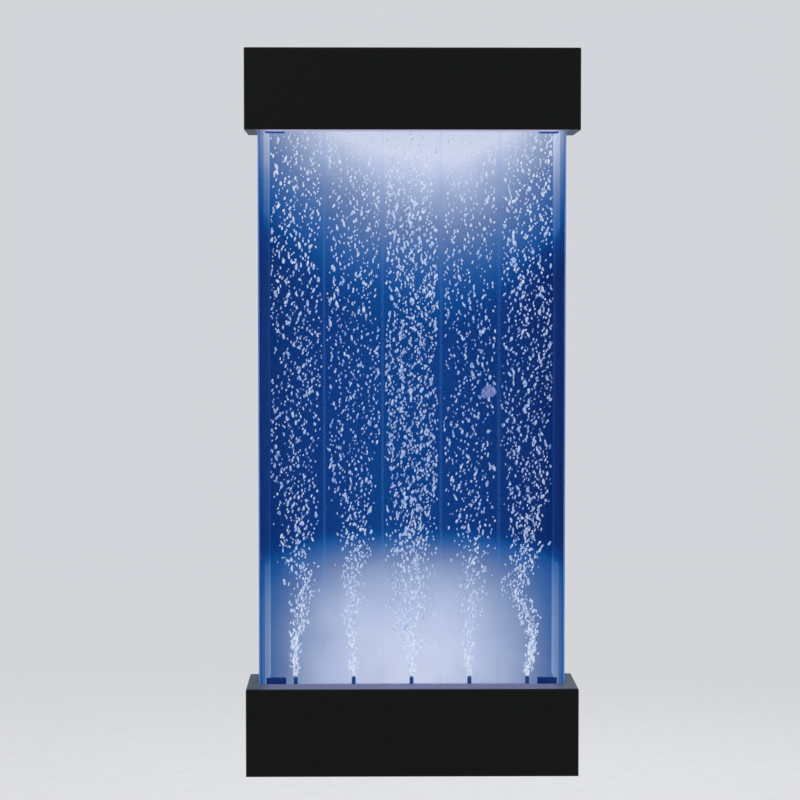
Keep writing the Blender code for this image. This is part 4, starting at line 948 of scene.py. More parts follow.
@dataclass
class ButtonScrew:
    """A button-head screw with a hexagon socket."""

    head_radius: float = 0.0034
    head_height: float = 0.0018
    socket_radius: float = 0.0014
    socket_depth: float = 0.0011
    dome: tuple[tuple[float, float], ...] = ((0.96, 0.45), (0.80, 0.80), (0.55, 1.0))

    @staticmethod
    def pull(
        mesh: Shape, edges: list[bmesh.types.BMEdge]
    ) -> tuple[list[bmesh.types.BMVert], list[bmesh.types.BMEdge]]:
        """Extrude a loop of edges.

        Args:
            mesh: the mesh to change.
            edges: the loop.

        Returns:
            The new loop's vertices and edges.
        """
        swept = bmesh.ops.extrude_edge_only(mesh, edges=edges)["geom"]
        verts = [item for item in swept if isinstance(item, bmesh.types.BMVert)]
        links = [item for item in swept if isinstance(item, bmesh.types.BMEdge)]
        return verts, [edge for edge in links if all(vert in verts for vert in edge.verts)]

    def mesh(self, place: Point, axis: Vector) -> Shape:
        """Build one screw head.

        Args:
            place: the middle of its seat.
            axis: where the head faces.

        Returns:
            The closed mesh.
        """
        made = bmesh.new()
        bmesh.ops.create_circle(made, cap_ends=True, segments=20, radius=self.head_radius)
        rim = list(made.edges)
        for share, height in self.dome:
            moved, rim = self.pull(made, rim)
            grow = share * self.head_radius / moved[0].co.xy.length
            bmesh.ops.scale(made, vec=(grow, grow, 1), verts=moved)
            for vert in moved:
                vert.co.z = height * self.head_height
        hexagon = bmesh.ops.create_circle(
            made, segments=6, radius=self.socket_radius,
            matrix=Matrix.Translation((0, 0, self.head_height)),
        )["verts"]
        inner = [edge for edge in made.edges if all(vert in hexagon for vert in edge.verts)]
        bmesh.ops.bridge_loops(made, edges=rim + inner)
        floor, bottom = self.pull(made, inner)
        bmesh.ops.translate(made, vec=(0, 0, -self.socket_depth), verts=floor)
        bmesh.ops.contextual_create(made, geom=bottom)
        return stand(face_outwards(made), place, axis)


@dataclass
class BlindRivet:
    """A dome-head blind rivet with its broken stem."""

    head_radius: float = 0.0040
    head_height: float = 0.0013
    stem_radius: float = 0.0012

    def mesh(self, place: Point, axis: Vector) -> Shape:
        """Build one rivet head.

        Args:
            place: the middle of its seat.
            axis: where the head faces.

        Returns:
            The closed mesh.
        """
        radius, height, stem = self.head_radius, self.head_height, self.stem_radius
        profile = [
            (0, 0), (radius, 0), (radius, 0.25 * height), (0.85 * radius, 0.65 * height),
            (0.60 * radius, 0.95 * height), (stem * 1.25, height), (stem * 1.25, 0.6 * height),
            (stem, 0.6 * height), (stem, 0.85 * height), (0, 0.8 * height),
        ]
        return stand(turned_mesh(profile, 20), place, axis)


def fasten(
    name: str,
    kind: ButtonScrew | BlindRivet,
    places: Iterable[Point],
    axis: Vector,
    body: Body = Body.PANEL,
) -> None:
    """Make one piece of several like fasteners.

    Args:
        name: the piece's name.
        kind: the screw or rivet.
        places: the middle of each seat.
        axis: where the heads face.
        body: the CAD body they move with.
    """
    mesh_piece(name, gather(kind.mesh(place, axis) for place in places), SCREW_STEEL, body)


# Sub-assemblies

TANK_MIDDLE_Y = -0.075
LEAD_X = 0.245
PAN_UNDER_Z = -1.1000
PAN_TOP_Z = -1.0982


@dataclass
class WallMount:
    """The rail on the wall and the hooked rail on the frame."""

    screw_pitch: float = 0.300
    head_radius: float = 0.0055
    head_height: float = 0.0032
    shank_radius: float = 0.0024
    washer_radius: float = 0.0075
    washer: float = 0.0010
    rail_sheet: float = 0.0025
    rivet_xs: tuple[float, ...] = (0.250, 0.238)
    rivet_drops: tuple[float, ...] = (0.010, 0.027)

    def build(self) -> None:
        """Make the wall screws with their washers, and the rivets of the hooked rail."""
        web_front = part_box("wall_rail")[1].y - self.rail_sheet
        shank, head, washer = self.shank_radius, self.head_radius, self.washer
        top = washer + self.head_height
        disc = [(shank, 0), (self.washer_radius, 0), (self.washer_radius, washer), (shank, washer)]
        screw = [
            (0, web_front + 0.0002), (shank - 0.0001, web_front + 0.0002),
            (shank - 0.0001, washer + 0.0001), (head, washer + 0.0001),
            (head, washer + 0.4 * self.head_height), (0.7 * head, 0.9 * top),
            (0.45 * head, top), (0.30 * head, 0.6 * top), (0, 0.6 * top),
        ]
        screws = []
        for side in SIDES:
            seat = (side * self.screw_pitch / 2, web_front, 0)
            for mesh in (turned_mesh(disc, ring=True), turned_mesh(screw)):
                screws.append(stand(mesh, seat, FRONTWARDS))
        mesh_piece("wall_screws", gather(screws), SCREW_STEEL, Body.RAIL)
        hook_low, hook_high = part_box("hang_rail")
        rear = hook_low.y + self.rail_sheet
        spots = [
            (side * x, rear, hook_high.z - drop)
            for side in SIDES for x in self.rivet_xs for drop in self.rivet_drops
        ]
        fasten("hang_rail_rivets", BlindRivet(), spots, REARWARDS)

    def dress(self) -> None:
        """Plate both rails and give the spacer its rubber."""
        wear(PLATED_STEEL, "wall_rail", "hang_rail")
        wear(MOULDED_RUBBER, "spacer_bar")


@dataclass
class Chassis:
    """The uprights, the shelf under the tank and the bridge over it."""

    clip_radius: float = 0.0032
    clip_width: float = 0.008
    clip_sheet: float = 0.0008
    clip_half: float = 0.009
    clip_rise: float = 0.0023
    clip_heights: tuple[float, ...] = (-0.90, -0.72, -0.54, -0.36, -0.18)

    def build(self) -> None:
        """Make the screws of the shelf and the bridge, and the lead's clips."""
        low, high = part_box("tank_shelf")
        spots = [(x, high.y, low.z + 0.022) for x in (-0.205, -0.07, 0.07, 0.205)]
        fasten("shelf_screws", ButtonScrew(), spots, REARWARDS)
        low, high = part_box("light_bridge")
        spots = [(side * LEAD_X, high.y - 0.0015, low.z + 0.009) for side in SIDES]
        fasten("bridge_screws", ButtonScrew(), spots, FRONTWARDS)
        spots = [(x, TANK_MIDDLE_Y, high.z) for x in (-0.15, 0.0, 0.15)]
        fasten("hood_light_screws", ButtonScrew(0.0028, 0.0015), spots, UP)
        clips = gather(self.clip(height) for height in self.clip_heights)
        mesh_piece("lead_clips", clips, BLACK_NYLON)

    def clip(self, height: float) -> Shape:
        """Build one saddle clip over the lead.

        Args:
            height: the clip's height on the upright.

        Returns:
            The closed mesh.
        """
        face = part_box("upright_right")[0].y + 0.0021
        half, inner, sheet = self.clip_half, self.clip_radius, self.clip_sheet
        under, over = (
            [
                (-radius * math.cos(turn), self.clip_rise + radius * math.sin(turn))
                for turn in (math.pi * step / 8 for step in range(9))
            ]
            for radius in (inner, 1.22 * inner)
        )
        profile = [
            (-half, 0.0), (-inner, 0.0), *under, (inner, 0.0), (half, 0.0), (half, sheet),
            (inner + sheet, sheet), *reversed(over), (-inner - sheet, sheet), (-half, sheet),
        ]
        ring = [(LEAD_X + x, face + y, height) for x, y in profile]
        return face_outwards(extruded_mesh(ring, (0, 0, self.clip_width)))

    def dress(self) -> None:
        """Coat the frame."""
        wear(COATED_STEEL, "upright_left", "upright_right", "tank_shelf", "light_bridge")


@dataclass
class Covers:
    """The folded hood and base, and the pan in the base."""

    trim_inset: float = 0.0016
    trim_gap: float = 0.0006
    trim_sheet: float = 0.0006
    trim_lift: float = 0.00002
    trim_edge: float = 0.00015

    def top_trim(self) -> None:
        """Make the trim plate on the base, open to the rear round the tank, which carries the
        painted grey reflection and the tank's lilac light.
        """
        low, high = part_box("base_shell")
        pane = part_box("tank_front_pane")
        outer, inner = high.x - self.trim_inset, pane[1].x + self.trim_gap
        front, step = low.y + self.trim_inset, pane[0].y - self.trim_gap
        rear = high.y - self.trim_inset
        outline = (
            (-outer, front), (outer, front), (outer, rear), (inner, rear),
            (inner, step), (-inner, step), (-inner, rear), (-outer, rear),
        )
        ring = [(x, y, high.z + self.trim_lift) for x, y in outline]
        made = face_outwards(extruded_mesh(ring, (0, 0, self.trim_sheet)))
        round_edges(made, self.trim_edge, 1)
        mesh_piece("base_top_trim", made, BASE_TOP_STEEL)

    def build(self) -> None:
        """Make the base's trim, the pan's screws and the grommet of the light's lead."""
        self.top_trim()
        spots = (
            (-0.231, -0.1347), (-0.149, -0.1347), (-0.231, -0.1027), (-0.149, -0.1027),
            (0.095, -0.1267), (0.205, -0.1267), (-0.236, -0.048), (0.236, -0.048),
            (0.0, -0.048), (-0.262, -0.148), (0.262, -0.148), (0.0, -0.148),
        )
        fasten("pan_screws", ButtonScrew(), [(x, y, PAN_UNDER_Z) for x, y in spots], DOWN)
        profile = [
            (0.0026, -0.0022), (0.0064, -0.0022), (0.0064, -0.0010), (0.0049, -0.0010),
            (0.0049, 0.0010), (0.0064, 0.0010), (0.0064, 0.0022), (0.0026, 0.0022),
        ]
        ring = stand(turned_mesh(profile, ring=True), (0.216, -0.04075, -1.070), REARWARDS)
        mesh_piece("lead_grommet", ring, MOULDED_RUBBER)

    def dress(self) -> None:
        """Coat the covers and plate the pan."""
        wear(COATED_STEEL, "hood_shell", "base_shell")
        wear(HOOD_PLATE_STEEL, "hood_underside")
        wear(PLATED_STEEL, "base_pan")


@dataclass
class Tank:
    """The acrylic tank, its dividers and the water between them."""

    wall_gap: float = 0.0003
    level: float = -0.034
    ripple: float = 0.0007
    cuts_across: int = 12
    cuts_deep: int = 6
    seam: float = 0.0012

    def channels(self) -> list[tuple[float, float]]:
        """Return the left and right wall of each channel, from the CAD nodes."""
        walls = [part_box("tank_side_left")[1].x]
        for number in range(1, 5):
            walls += [corner.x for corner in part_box(f"divider_{number}")]
        walls.append(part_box("tank_side_right")[0].x)
        gap = self.wall_gap
        return [(left + gap, right - gap) for left, right in zip(walls[0::2], walls[1::2])]

    def outline(self, left: float, right: float) -> list[tuple[float, float]]:
        """Outline of a channel's water, kept clear of the corner blocks.

        Args:
            left: the channel's left wall.
            right: its right wall.

        Returns:
            Pairs of x and z, all the way round.
        """
        foot = TANK_FLOOR_Z + self.wall_gap
        block_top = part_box("lower_block_left")[1].z + self.wall_gap
        block_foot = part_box("upper_block_left")[0].z - self.wall_gap
        inner_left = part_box("lower_block_left")[1].x + self.wall_gap
        inner_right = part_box("lower_block_right")[0].x - self.wall_gap
        start = [(left, self.level), (left, foot)]
        end = [(right, foot), (right, self.level)]
        if left < inner_left:
            start = [
                (inner_left, self.level), (inner_left, block_foot), (left, block_foot),
                (left, block_top), (inner_left, block_top), (inner_left, foot),
            ]
        if right > inner_right:
            end = [
                (inner_right, foot), (inner_right, block_top), (right, block_top),
                (right, block_foot), (inner_right, block_foot), (inner_right, self.level),
            ]
        return start + end

    def water(self, number: int, left: float, right: float) -> None:
        """Make one channel's water, with a rippled surface.

        Args:
            number: the channel's number, from the left.
            left: its left wall.
            right: its right wall.
        """
        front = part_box("tank_front_pane")[1].y + self.wall_gap
        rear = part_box("tank_rear_pane")[0].y - self.wall_gap
        ring = [(x, front, z) for x, z in self.outline(left, right)]
        made = extruded_mesh(ring, (0, rear - front, 0))
        cuts = (
            (left, right, self.cuts_across, Vector((1, 0, 0))),
            (front, rear, self.cuts_deep, Vector((0, 1, 0))),
        )
        for start, end, count, normal in cuts:
            for step in range(1, count):
                place = normal * (start + (end - start) * step / count)
                everything = [*made.verts, *made.edges, *made.faces]
                bmesh.ops.bisect_plane(
                    made, geom=everything, dist=1e-6, plane_co=place, plane_no=normal
                )
        waves = random.Random(number)
        for vert in made.verts:
            if math.isclose(vert.co.z, self.level, abs_tol=1e-6):
                vert.co.z += self.ripple * waves.uniform(-1, 1)
        mesh_piece(f"water_{number}", face_outwards(made), TANK_WATER, sharp_degrees=40)

    def seams(self) -> None:
        """Make the thin fillets of cement where the side walls meet the front pane."""
        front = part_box("tank_front_pane")[1].y + self.wall_gap
        low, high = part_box("tank_side_left")[0].z + 0.028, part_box("tank_front_pane")[1].z - 0.045
        fillets = []
        for side in SIDES:
            x = side * (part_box("tank_side_right")[0].x - 0.0007)
            corners = (x - self.seam / 2, front, low), (x + self.seam / 2, front + self.seam, high)
            fillets.append(box_mesh(*corners, edge=0.0004))
        mesh_piece("pane_seams", gather(fillets), SEAM_CEMENT)

    def build(self) -> None:
        """Make the water of all channels and the seams."""
        for number, (left, right) in zip(CHANNELS, self.channels()):
            self.water(number, left, right)
        self.seams()

    def dress(self) -> None:
        """Give the tank's CAD nodes their acrylics."""
        wear(PANE_ACRYLIC, "tank_front_pane")
        wear(WET_PANE_ACRYLIC, "tank_rear_pane")
        wear(SIDE_ACRYLIC, "tank_side_left", "tank_side_right")
        wear(DIVIDER_ACRYLIC, *(f"divider_{number}" for number in range(1, 5)))
        wear(FLOOR_ACRYLIC, "tank_floor")
        wear(BACK_ACRYLIC, "back_panel")
        wear(NAVY_ACRYLIC, "lower_block_left", "lower_block_right")
        wear(LIT_NAVY_ACRYLIC, "upper_block_left", "upper_block_right")
        wear(TURNED_NYLON, *(f"air_nozzle_{number}" for number in CHANNELS))
        wear(MOULDED_RUBBER, "tank_gasket")


def bubble_shape() -> bpy.types.Mesh:
    """Make one round bubble of radius 1 from few faces, as the shape of them all."""
    made = bmesh.new()
    bmesh.ops.create_uvsphere(made, u_segments=8, v_segments=5, radius=1.0)
    shape = bpy.data.meshes.new("bubble_shape")
    made.to_mesh(shape)
    made.free()
    return shape


def read_table(table: Sequence[tuple[float, float]], place: float) -> float:
    """Read a value from a table, on straight lines between its rows.

    Args:
        table: pairs of place and value, lowest place first.
        place: where to read it.

    Returns:
        The value there.
    """
    for (low, first), (high, second) in zip(table, table[1:]):
        if place <= high:
            share = max(0.0, (place - low) / (high - low))
            return first + (second - first) * share
    return table[-1][1]


@dataclass
class BubbleStream:
    """The bubbles that rise from one nozzle and spread through its channel.

    Both tables go by the height over the nozzle. Above free_from the bubbles come free of
    the stream: most then take even places across the channel, and all ride on slow waves.
    """

    number: int
    count: int
    half_widths: tuple[tuple[float, float], ...]
    sway: tuple[tuple[float, float], ...]
    usual_radius: float = 0.00124
    smallest: float = 0.0006
    largest: float = 0.0027
    size_spread: float = 0.32
    clear: float = 0.0006
    golden: float = 0.618034
    free_from: float = 0.22
    free_over: float = 0.1
    free_share: float = 0.8
    waves: tuple[tuple[float, float], ...] = ((0.007, 21.0), (0.004, 47.0))
    foot_zone: float = 0.12
    top_zone: float = 0.2
    deepest: float = 0.021

    def matrix(
        self, draw: random.Random, walls: tuple[float, float], rise: float, foot: Vector,
        phases: Sequence[float], order: int,
    ) -> Matrix:
        """Draw the place, size and lean of one bubble.

        Args:
            draw: the stream's own random numbers.
            walls: the channel's walls along X.
            rise: from the nozzle's tip to the surface.
            foot: the nozzle's tip.
            phases: where this stream's slow waves start.
            order: the bubble's number, from the foot up.

        Returns:
            The matrix that takes the round bubble there.
        """
        height = rise * ((order + 1.5 * draw.random()) / (self.count + 1)) ** 1.08
        spread = read_table(self.half_widths, height)
        drift = read_table(self.sway, height)
        free = max(0.0, min(1.0, (height - self.free_from) / self.free_over))
        for (reach, turns), phase in zip(self.waves, phases):
            drift += free * reach * math.sin(height * turns + phase)
        radius = self.usual_radius * math.exp(draw.gauss(0, self.size_spread))
        radius = min(max(radius, self.smallest), self.largest)
        lower = max(0.0, 1 - height / self.foot_zone)
        upper = max(0.0, height / rise - (1 - self.top_zone)) / self.top_zone
        radius *= 1 - 0.22 * lower - 0.05 * upper
        long = draw.uniform(1.2, 2.7) + 1.8 * lower * draw.random()
        across = draw.gauss(0, 0.5)
        if draw.random() < free * self.free_share:
            across = 2 * ((order * self.golden + draw.gauss(0, 0.06)) % 1) - 1
        reach = radius * long + self.clear
        x = foot.x + drift + across * spread
        if not walls[0] + reach < x < walls[1] - reach:
            x = min(max(x, walls[0] + reach), walls[1] - reach)
            x += math.copysign(draw.random() ** 2 * 0.02, foot.x - x)
        deep = min(self.deepest, 0.0016 + 0.5 * spread)
        y = foot.y + max(-deep, min(deep, draw.gauss(0, 0.5) * deep))
        z = foot.z + height + radius
        lean, pitch = draw.gauss(0.15, 0.33), draw.gauss(0, 0.3)
        tilt = Matrix.Rotation(lean, 4, "Y") @ Matrix.Rotation(pitch, 4, "X")
        size = Matrix.Diagonal((radius, radius, radius * long, 1))
        return Matrix.Translation((x, y, z)) @ tilt @ size

    def build(self, walls: tuple[float, float], level: float, shape: bpy.types.Mesh) -> None:
        """Make the stream as one piece.

        Args:
            walls: the channel's walls along X.
            level: the water's level.
            shape: the round bubble.
        """
        draw = random.Random(40 + self.number)
        nozzle = f"air_nozzle_{self.number}"
        foot = middle_of(nozzle)
        foot.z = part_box(nozzle)[1].z + 0.001
        rise = level - foot.z - 0.004
        phases = [draw.uniform(0, math.tau) for _ in self.waves]
        made = bmesh.new()
        for order in range(self.count):
            bubble = shape.copy()
            bubble.transform(self.matrix(draw, walls, rise, foot, phases, order))
            made.from_mesh(bubble)
            bpy.data.meshes.remove(bubble)
        mesh_piece(f"bubbles_{self.number}", made, BUBBLE_FILM, sharp_degrees=180)


@dataclass
class AirPocket:
    """A large flat pocket of air that has caught behind the front pane."""

    place: tuple[float, float, float] = (0.1300, -0.0975, -0.4850)
    half_sizes: tuple[float, float, float] = (0.0128, 0.0013, 0.0112)
    lobes: tuple[tuple[int, float, float], ...] = ((2, 0.10, 0.2), (3, 0.08, 2.4), (5, 0.04, 0.4))

    def build(self) -> None:
        """Make the pocket as a flat disc with a wavy rim."""
        made = bmesh.new()
        bmesh.ops.create_uvsphere(made, u_segments=36, v_segments=14, radius=1.0)
        bmesh.ops.rotate(made, verts=made.verts, matrix=Matrix.Rotation(math.pi / 2, 3, "X"))
        for vertex in made.verts:
            turn = math.atan2(vertex.co.z, vertex.co.x)
            wave = sum(size * math.sin(count * turn + start) for count, size, start in self.lobes)
            vertex.co.x *= 1 + wave
            vertex.co.z *= 1 + wave
        bmesh.ops.scale(made, vec=self.half_sizes, verts=made.verts)
        bmesh.ops.translate(made, vec=self.place, verts=made.verts)
        mesh_piece("air_pocket", made, POCKET_AIR, sharp_degrees=180)


FOOT, FULL = (0.0, 0.0045), (0.42, 0.0465)
NARROW = (FOOT, (0.02, 0.008), (0.06, 0.0115), (0.1, 0.0175), (0.24, 0.031), FULL)
SPARSE = (FOOT, (0.02, 0.0075), (0.06, 0.009), (0.14, 0.018), (0.24, 0.031), FULL)
WIDE = (FOOT, (0.02, 0.0075), (0.06, 0.012), (0.14, 0.024), (0.24, 0.035), FULL)
BROAD = (FOOT, (0.03, 0.0115), (0.06, 0.019), (0.11, 0.035), (0.24, 0.042), (0.4, 0.0465))
STREAMS = (
    BubbleStream(
        1, 1270, NARROW,
        ((0.0, 0.0), (0.06, -0.001), (0.09, 0.004), (0.115, 0.010), (0.135, 0.015),
         (0.165, 0.015), (0.195, 0.004), (0.22, 0.0), (0.4, 0.0)),
    ),
    BubbleStream(
        2, 1270, SPARSE,
        ((0.0, 0.0), (0.06, 0.0), (0.098, -0.006), (0.134, 0.002), (0.17, -0.006),
         (0.21, 0.009), (0.3, 0.0)),
    ),
    BubbleStream(
        3, 2300, BROAD, ((0.0, 0.0), (0.06, 0.0), (0.108, -0.007), (0.146, 0.0), (0.3, 0.0))
    ),
    BubbleStream(
        4, 1040, WIDE,
        ((0.0, 0.0), (0.06, -0.002), (0.098, 0.001), (0.134, 0.005), (0.17, 0.008),
         (0.21, 0.005), (0.3, 0.0)),
    ),
    BubbleStream(
        5, 1540, NARROW,
        ((0.0, 0.0), (0.03, 0.006), (0.07, 0.0095), (0.1, 0.004), (0.12, -0.008),
         (0.14, -0.019), (0.156, -0.022), (0.178, -0.013), (0.2, -0.004), (0.4, 0.0)),
    ),
)


@dataclass
class LightBar:
    """A lamp strip in its aluminium channel, behind an opal lens."""

    end: str
    faces_up: bool
    strip_width: float = 0.010
    strip: float = 0.0004
    lamp_pitch: float = 0.0167
    lamp: float = 0.005
    lamp_height: float = 0.0016
    sheet: float = 0.0012
    cap: float = 0.0014
    gap: float = 0.0001

    def build(self) -> None:
        """Make the strip, its lamps and the channel's end caps."""
        low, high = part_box(f"{self.end}_light_channel")
        sign = 1 if self.faces_up else -1
        floor = (low.z if self.faces_up else high.z) + sign * (self.sheet + self.gap)
        face = floor + sign * self.strip
        middle_y, half, length = (low.y + high.y) / 2, self.strip_width / 2, high.x - 0.002
        foot, top = sorted((floor, face))
        strip = box_mesh((-length, middle_y - half, foot), (length, middle_y + half, top))
        mesh_piece(f"{self.end}_lamp_strip", strip, SOLDER_MASK)
        count = int(2 * (length - self.lamp) / self.lamp_pitch)
        xs = [(step - count / 2) * self.lamp_pitch for step in range(count + 1)]
        lamps = gather(self.lamp_mesh((x, middle_y, face), UP * sign) for x in xs)
        mesh_piece(f"{self.end}_lamps", lamps, LAMP_PHOSPHOR)
        caps = []
        for side in SIDES:
            left, right = sorted((side * (high.x + self.gap), side * (high.x + self.cap)))
            caps.append(box_mesh((left, low.y, low.z), (right, high.y, high.z), edge=0.0005))
        mesh_piece(f"{self.end}_light_caps", gather(caps), GREY_NYLON)

    def lamp_mesh(self, place: Point, axis: Vector) -> Shape:
        """Build one lamp package with its sunk phosphor.

        Args:
            place: the middle of its foot.
            axis: where it faces.

        Returns:
            The closed mesh.
        """
        half = self.lamp / 2
        made = box_mesh((-half, -half, 0), (half, half, self.lamp_height))
        top = max(made.faces, key=lambda face: face.calc_center_median().z)
        bmesh.ops.inset_individual(made, faces=[top], thickness=0.0008)
        bmesh.ops.translate(made, vec=(0, 0, -0.0004), verts=list(top.verts))
        return stand(made, place, axis)

    def dress(self) -> None:
        """Give the channel and its lens their finishes."""
        wear(EXTRUDED_ALUMINIUM, f"{self.end}_light_channel")
        wear(OPAL_LENS, f"{self.end}_light_lens")


@dataclass
class AirSystem:
    """The manifold with its levers, the airlines and the pump's hose."""

    line_radius: float = 0.003
    hose_radius: float = 0.0035
    straight: float = 0.008
    steps: int = 30
    hose_steps: int = 28
    hose_start: tuple[float, float, float] = (-0.1267, -0.1187, -1.0772)
    hose_end: tuple[float, float, float] = (-0.108, TANK_MIDDLE_Y, -1.0882)
    clip_half: float = 0.0016
    clip_inset: float = 0.0035

    def line(self, number: int) -> None:
        """Make one airline from its barb up to its nozzle's tail.

        Args:
            number: the airline's number, from the left.
        """
        valve_x = middle_of(f"air_valve_lever_{number}").x
        nozzle = middle_of(f"air_nozzle_{number}")
        low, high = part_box(f"airline_{number}")
        rise = high.z - low.z - 2 * self.straight
        points = [Vector((valve_x, nozzle.y, low.z))]
        for step in range(self.steps + 1):
            t = step / self.steps
            x = valve_x + (nozzle.x - valve_x) * t * t * (3 - 2 * t)
            points.append(Vector((x, nozzle.y, low.z + self.straight + rise * t)))
        points.append(Vector((nozzle.x, nozzle.y, high.z)))
        stands_for = (f"airline_{number}",)
        tube = f"airline_tube_{number}"
        tube_piece(tube, points, self.line_radius, EXTRUDED_SILICONE, stands_for)

    def hose(self) -> None:
        """Make the pump's hose, straight out of the pump and down on the manifold."""
        start, end = Vector(self.hose_start), Vector(self.hose_end)
        pulls = (start, start + Vector((0.022, 0, 0)), end + Vector((0, 0, 0.030)), end)
        points = []
        for step in range(self.hose_steps + 1):
            t = step / self.hose_steps
            shares = ((1 - t) ** 3, 3 * t * (1 - t) ** 2, 3 * t * t * (1 - t), t**3)
            points.append(sum((s * p for s, p in zip(shares, pulls)), Vector()))
        tube_piece("pump_hose_tube", points, self.hose_radius, EXTRUDED_SILICONE, ("pump_hose",))

    def clip(self, place: Point, radius: float) -> Shape:
        """Build one spring clip round a tube's end.

        Args:
            place: the middle of the ring.
            radius: the tube's radius.

        Returns:
            The closed mesh.
        """
        inner, outer, half = radius + 0.0001, radius + 0.0009, self.clip_half
        profile = [(inner, -half), (outer, -half), (outer, half), (inner, half)]
        parts = [turned_mesh(profile, ring=True)]
        for y in (-0.0012, 0.0005):
            low, high = (outer - 0.0003, y, -half), (outer + 0.0028, y + 0.0007, half)
            parts.append(box_mesh(low, high, edge=0.0002))
        return stand(gather(parts), place)

    def build(self) -> None:
        """Make the airlines, the hose and their clips."""
        for number in CHANNELS:
            self.line(number)
        self.hose()
        rings = []
        for number in CHANNELS:
            low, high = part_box(f"airline_{number}")
            ends = (
                (f"air_valve_lever_{number}", low.z + self.clip_inset),
                (f"air_nozzle_{number}", high.z - self.clip_inset),
            )
            for node, z in ends:
                place = (middle_of(node).x, TANK_MIDDLE_Y, z)
                rings.append(self.clip(place, self.line_radius))
        rings.append(self.clip(Vector(self.hose_end) + Vector((0, 0, 0.0045)), self.hose_radius))
        mesh_piece("tube_clips", gather(rings), ROLLED_STEEL)
        screw = ButtonScrew(0.0022, 0.0010, 0.0009, 0.0007)
        for number in CHANNELS:
            lever = f"air_valve_lever_{number}"
            spot = (middle_of(lever).x, TANK_MIDDLE_Y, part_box(lever)[0].z)
            fasten(f"lever_screw_{number}", screw, [spot], DOWN, Body(f"air_valve_{number}"))

    def dress(self) -> None:
        """Give the manifold and the levers their nylons."""
        wear(GREY_NYLON, "air_manifold")
        wear(RED_NYLON, *(f"air_valve_lever_{number}" for number in CHANNELS))


@dataclass
class Pump:
    """The membrane pump: housing, winding with its core, arm and membrane."""

    wire_radius: float = 0.0005
    turns: int = 15
    turn_steps: int = 24
    flange: float = 0.002
    hub_half: float = 0.0080
    winding_half: float = 0.0108
    winding_corner: float = 0.004
    arm_z: float = -1.0722
    core_foot: float = -1.0800
    core_pitch: float = 0.0013
    core_sheet: float = 0.0012
    core_sheets: int = 12

    def winding(self) -> None:
        """Make the bobbin and the wire wound on it, in place of the plain coil."""
        low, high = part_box("pump_coil")
        middle_x = middle_of("pump_coil").x
        parts = [
            box_mesh((low.x, y, low.z), (high.x, y + self.flange, high.z), edge=0.0005)
            for y in (low.y, high.y - self.flange)
        ]
        hub_low = (middle_x - self.hub_half, low.y + 0.001, self.arm_z - self.hub_half)
        hub_high = (middle_x + self.hub_half, high.y - 0.001, self.arm_z + self.hub_half)
        parts.append(box_mesh(hub_low, hub_high))
        mesh_piece("coil_bobbin", gather(parts), WHITE_ABS, stands_for=("pump_coil",))
        points = []
        half = self.winding_half - self.wire_radius
        start = low.y + self.flange + self.wire_radius + 0.0002
        span = high.y - low.y - 2 * self.flange - 2 * self.wire_radius - 0.0004
        steps = self.turns * self.turn_steps
        for step in range(steps + 1):
            angle = math.tau * step / self.turn_steps
            c, s = math.cos(angle), math.sin(angle)
            reach = min(1 / max(abs(c), abs(s)), 1.0 + self.winding_corner / half * 0.55)
            y = start + span * step / steps
            points.append((middle_x + half * c * reach, y, self.arm_z + half * s * reach))
        tube_piece("coil_winding", points, self.wire_radius, ENAMELLED_COPPER, rings=1)

    def core(self) -> None:
        """Make the stacked steel yoke behind the winding."""
        rear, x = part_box("pump_coil")[1].y, middle_of("pump_coil").x
        low, high = Vector((x - 0.0170, rear + 0.0004, 0)), Vector((x + 0.0170, rear + 0.0090, 0))
        feet = (self.core_foot + step * self.core_pitch for step in range(self.core_sheets))
        sheets = [box_mesh(low + UP * z, high + UP * (z + self.core_sheet)) for z in feet]
        mesh_piece("coil_core", gather(sheets), STACKED_STEEL)

    def membrane(self) -> None:
        """Make the folded rubber membrane, in place of the plain cup."""
        low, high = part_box("pump_diaphragm")
        place = middle_of("pump_diaphragm")
        place.y = high.y
        length = high.y - low.y
        profile = [
            (0, 0), (0.0079, 0), (0.0079, 0.0018), (0.0068, 0.0024), (0.0070, 0.0040),
            (0.0078, 0.0052), (0.0064, 0.0064), (0.0060, 0.0080), (0.0068, 0.0092),
            (0.0054, 0.0106), (0.0046, 0.0126), (0.0044, length - 0.0030),
            (0.0045, length - 0.0020), (0.0044, length), (0, length),
        ]
        made = stand(turned_mesh(profile), place, FRONTWARDS)
        mesh_piece("pump_membrane", made, MOULDED_RUBBER, stands_for=("pump_diaphragm",))

    def build(self) -> None:
        """Make the winding, core and membrane, the cover's screws and the foot grommets."""
        self.winding()
        self.core()
        self.membrane()
        low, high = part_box("pump_cover")
        screws, feet = (
            [
                (x, y)
                for x in (low.x + inset, high.x - inset)
                for y in (low.y + inset, high.y - inset)
            ]
            for inset in (0.009, 0.014)
        )
        spots = [(x, y, high.z) for x, y in screws]
        fasten("pump_screws", ButtonScrew(0.0028, 0.0014), spots, UP)
        profile = [
            (0.0062, 0), (0.0084, 0), (0.0088, 0.0010), (0.0080, 0.0022), (0.0088, 0.0034),
            (0.0082, 0.0044), (0.0062, 0.0044),
        ]
        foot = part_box("pump_case")[0].z + 0.0002
        rings = (stand(turned_mesh(profile, ring=True), (x, y, foot)) for x, y in feet)
        mesh_piece("pump_grommets", gather(rings), MOULDED_RUBBER)

    def dress(self) -> None:
        """Give the pump's CAD nodes their finishes."""
        wear(GREY_ABS, "pump_case", "pump_cover")
        wear(ROLLED_STEEL, "pump_arm")


